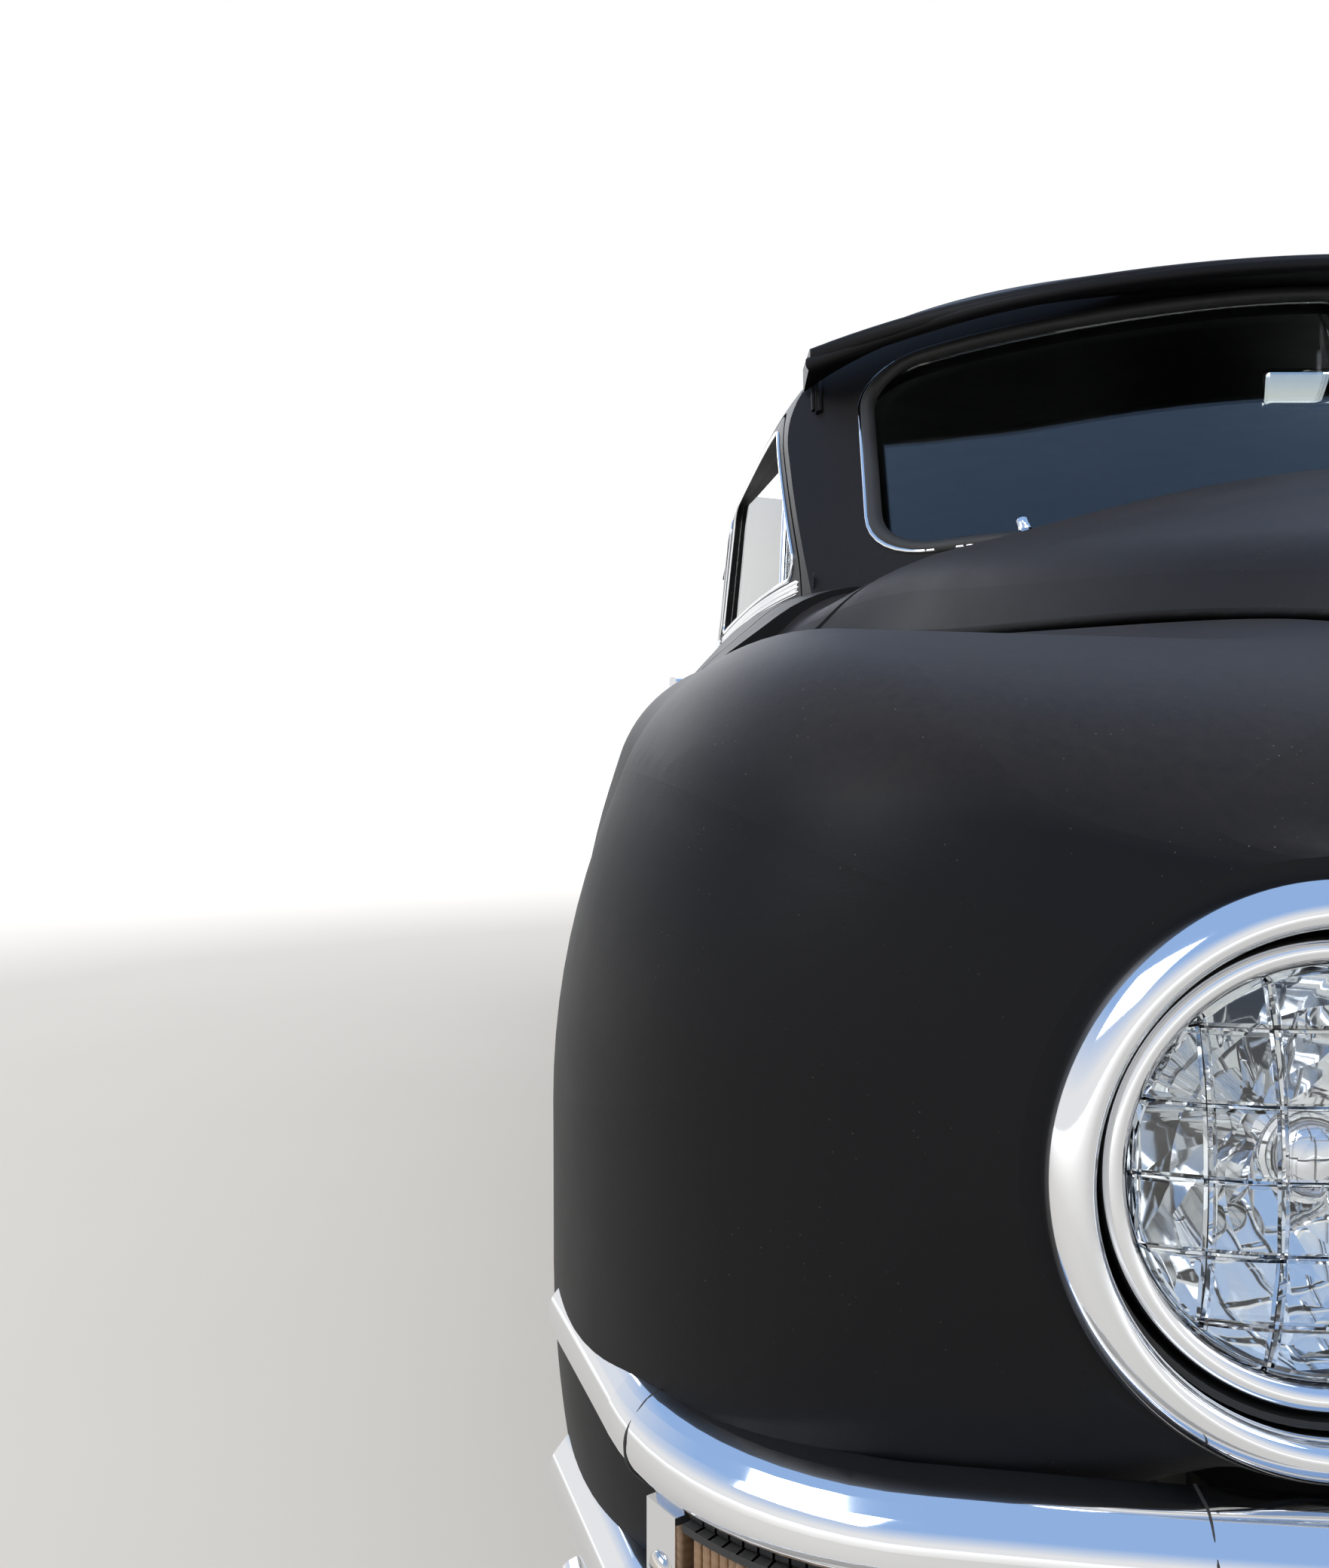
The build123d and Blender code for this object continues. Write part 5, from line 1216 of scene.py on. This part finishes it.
bases = [
    soft_block((0, 0.68, 0.5), (1.1, 0.2, 0.22), 0.01, 3),
    soft_block((0, 0.9, 0.597), (1.1, 0.19, 0.014), 0.005, 3),
    soft_block((0, 1.06, 0.78), (1.09, 0.02, 0.38), 0.006, 3, (-0.3, 0, 0)),
]
settle(weld(bases), "rear_bench_frame", "dash_paint")

# Under the hood: rocker cover, air cleaner, manifold, fan, hose, battery and radiator core
OIL_CAP = [(0, 0), (0.026, 0), (0.03, 0.004), (0.03, 0.016), (0.024, 0.022), (0, 0.024)]
CAP_NUT = [(0, 0), (0.012, 0), (0.012, 0.003), (0.007, 0.004), (0.007, 0.012), (0, 0.013)]
CLEANER = [
    (0, -0.02), (0.04, -0.02), (0.044, 0), (0.088, 0.004), (0.093, 0.012), (0.093, 0.062), (0.088, 0.072),
    (0.03, 0.079), (0.028, 0.084), (0, 0.085),
]
WING_NUT = [(0, 0), (0.009, 0), (0.009, 0.008), (0, 0.009)]
CARBURETTOR = [
    (0, 0), (0.036, 0), (0.036, 0.01), (0.026, 0.016), (0.024, 0.06), (0.036, 0.07), (0.036, 0.08), (0, 0.08),
]
FAN_HUB = [
    (0, 0), (0.065, 0), (0.065, 0.012), (0.055, 0.018), (0.065, 0.024), (0.065, 0.032), (0.03, 0.036),
    (0.028, 0.052), (0, 0.054),
]
RADIATOR_CAP = [
    (0, -0.002), (0.024, -0.002), (0.024, 0.01), (0.034, 0.012), (0.034, 0.018), (0.026, 0.026), (0, 0.028),
]
HOSE_CLIP = [(0.0215, 0), (0.0235, 0), (0.0235, 0.012), (0.0215, 0.012)]
CELL_CAP = [(0, 0), (0.012, 0), (0.012, 0.008), (0, 0.01)]

top = touch(["engine_block"], (0, -1.67, 1.4), (0, 0, -1))[0]
rocker = soften(block(top + Vector((0, 0, 0.034)), (0.17, 0.66, 0.07)), 0.022, 5, 20)
caps = [rocker, turned(top + Vector((0, 0.24, 0.067)), UP, OIL_CAP, 36)]
caps += [turned(top + Vector((0, y, 0.068)), UP, CAP_NUT, 6) for y in (-0.26, -0.08, 0.1)]
engine_grey = enamel("engine_grey", (0.11, 0.125, 0.12), 0.35, 0.6)
settle(weld(caps), "rocker_cover", "cast_iron", engine_grey)

cleaner_at = touch(["engine_block"], (0.6, -1.66, 0.82), INWARD)[0] + Vector((0.03, 0, 0.075))
cleaner = [
    turned(cleaner_at + Vector((0, 0, rise)), UP, profile, steps)
    for rise, profile, steps in ((0, CLEANER, 56), (0.084, WING_NUT, 6), (-0.095, CARBURETTOR, 32))
]
settle(weld(cleaner), "air_cleaner", "chassis_paint")


def block_right(y):
    return touch(["engine_block"], (-0.7, y, 0.66), (1, 0, 0))[0]


manifold = [
    tube([(0.004, 0, 0), (-0.035, 0.01, 0), (-0.05, 0.045, -0.012)], 0.017, block_right(y), sides=4)
    for y in (-1.93, -1.73, -1.55, -1.38)
]
log_x = block_right(-1.6).x - 0.05
manifold.append(tube([
    (log_x + 0.005, -1.9, 0.65), (log_x, -1.6, 0.645), (log_x, -1.36, 0.64), (log_x + 0.005, -1.3, 0.56),
    (-0.27, -1.275, 0.4), (-0.25, -1.28, 0.25), (-0.25, -1.29, 0.218),
], 0.021, sides=4))
settle(weld(manifold), "exhaust_manifold", "pipe_steel")

hub = Vector((0, -2.075, 0.64))
blades = [turned(hub + Vector((0, 0.03, 0)), AHEAD, FAN_HUB, 40)]
for turn in range(4):
    blade = block((0.115, 0, 0), (0.15, 0.0025, 0.072), (0.5, 0, 0))
    shape(blade, "BEVEL", width=0.001, segments=2)
    blade.rotation_euler = (0, -radians(90 * turn + 12), 0)
    blade.location = hub + Vector((0, -0.028, 0))
    blades.append(bake_place(blade))
settle(weld(blades), "cooling_fan", "chassis_paint")

hose_low = touch(["radiator"], (0.12, -1.9, 0.86), AHEAD)[0]
hose_run = [hose_low + Vector((0, -0.01, 0)), hose_low + Vector((0, 0.05, 0.012))]
hose = tube(hose_run + [(0.06, -2.1, 0.9), (0.03, -2.02, 0.885)], 0.021, sides=4)
clip = turned(hose_low + Vector((0, 0.022, 0.004)), (0, 1, 0.1), HOSE_CLIP, 36)
settle(hose, "top_hose", "hard_rubber", gasket_rubber)
cap_at = touch(["radiator"], (0, -2.26, 1.3), (0, 0, -1))[0]
settle(weld([clip, turned(cap_at, UP, RADIATOR_CAP, 40)]), "radiator_fittings")

core_y = touch(["radiator"], (0, -2.6, 0.7), BACK)[0].y - 0.0015
core = [
    soft_block((0, core_y, 0.44 + index * 0.0118), (0.56, 0.005, 0.0022), 0.0006, 1) for index in range(36)
]
core += [
    soft_block((-0.273 + index * 0.039, core_y, 0.6465), (0.0035, 0.0065, 0.425), 0.0008, 1)
    for index in range(15)
]
settle(weld(core), "radiator_core", "chassis_paint")

BATTERY_X, BATTERY_Y = -0.36, -1.315
tray = soft_block((BATTERY_X, -1.31, 0.6), (0.2, 0.18, 0.012), 0.003)
cells = [soft_block((BATTERY_X, BATTERY_Y, 0.695), (0.175, 0.15, 0.175), 0.006, 3)]
cells += [turned((BATTERY_X, BATTERY_Y + y, 0.7825), UP, CELL_CAP, 24) for y in (-0.045, 0.0, 0.045)]
settle(weld(cells), "battery", "hard_rubber")
bracket = soft_block((BATTERY_X, -1.228, 0.56), (0.16, 0.014, 0.09), 0.003)
settle(weld([tray, bracket]), "battery_tray", "chassis_paint")

# Front coil springs between the arms, and shock absorber tubes at the rear
COIL_X, COIL_R, COIL_STEPS = 0.545, 0.045, 72
for side, sign in SIDES:
    coil = []
    for step in range(COIL_STEPS + 1):
        angle = step * 2 * pi / 12
        out, back = COIL_R * cos(angle), COIL_R * sin(angle)
        coil.append((sign * (COIL_X + out), FRONT_AXLE_Y + back, 0.252 + 0.196 * step / COIL_STEPS))
    settle(tube(coil, 0.0068), "coil_spring_" + side, "chassis_paint")
    shock = weld([
        drum((sign * 0.455, y, z), radius, length, (0, -0.12, 1), 28)
        for y, z, radius, length in ((1.235, 0.475, 0.022, 0.15), (1.247, 0.375, 0.015, 0.12))
    ])
    settle(soften(shock, 0.003, 2), "rear_damper_" + side, "chassis_paint")

# Plain pale floor and soft studio light; far out the floor turns white for the camera and in the plating
floor = fresh(bpy.ops.mesh.primitive_plane_add, size=60, location=(0, 0, 0))
floor.name = "studio_floor"
ground = Finish("studio_floor", roughness=0.85, specular_ior_level=0.1, emission_strength=1.0)
x, y = ground.split(ground.place())[:2]
far = ground.ramp((x * x + y * y).root() / 20.0, (0.2, 0.0), (0.55, 1.0))
rays = [ground.node("ShaderNodeLightPath", output=kind) for kind in ("Is Camera Ray", "Is Glossy Ray")]
ground.set(
    base_color=ground.blend(ground.noise(1.5, 3), (0.80, 0.785, 0.76), (0.83, 0.815, 0.79)),
    emission_color=ground.blend(far * rays[0].larger(rays[1]), (0, 0, 0), (1, 1, 1)),
)
wear(floor, ground)
floor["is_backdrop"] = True


def soft_lamp(name, place, aim, size, power, tint):
    data = bpy.data.lights.new(name, "AREA")
    data.shape = "RECTANGLE"
    data.size, data.size_y = size
    data.energy = power
    data.color = tint
    lamp = bpy.data.objects.new(name, data)
    bpy.context.scene.collection.objects.link(lamp)
    lamp.location = place
    lamp.rotation_euler = (Vector(aim) - Vector(place)).to_track_quat("-Z", "Y").to_euler()


soft_lamp("key", (-5.5, -6.0, 6.5), (0, -0.8, 0.6), (6, 4), 420, (1.0, 0.985, 0.96))
soft_lamp("fill", (6.5, -3.0, 4.5), (0, 0, 0.7), (5, 5), 160, (0.95, 0.975, 1.0))
soft_lamp("rim", (-3.5, 7.0, 4.5), (0, 0, 0.8), (6, 3), 160, (1.0, 1.0, 1.0))


class Sky(Finish):
    def __init__(self, world):
        world.use_nodes = True
        self.tree = world.node_tree
        self.tree.nodes.clear()


# White all round; plating sees a blue sky overhead, and straight sight lines see it at full strength
world = bpy.data.worlds.new("studio")
bpy.context.scene.world = world
sky = Sky(world)
height = sky.split(sky.node("ShaderNodeTexCoord", output="Generated"))[2]
tint = sky.ramp(height, (0.15, (1, 1, 1)), (0.62, (0.36, 0.56, 0.93)))
camera_ray, glossy, through = [
    sky.node("ShaderNodeLightPath", output=kind)
    for kind in ("Is Camera Ray", "Is Glossy Ray", "Is Transmission Ray")
]
seen = camera_ray.larger(glossy).larger(through)
level = sky.node("ShaderNodeMapRange", None, {"Value": seen, "To Min": 0.5, "To Max": 1.0})
shown = {"Color": sky.blend(glossy, (1, 1, 1), tint), "Strength": level}
ambient = sky.node("ShaderNodeBackground", None, shown)
sky.plug(sky.tree.nodes.new("ShaderNodeOutputWorld").inputs["Surface"], ambient)

# The measured boxes of the frame and of the finished car
bpy.context.view_layer.update()
boxes = {"cad": cad_box, "visual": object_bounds()}
{key: [list(corner) for corner in box] for key, box in boxes.items()}
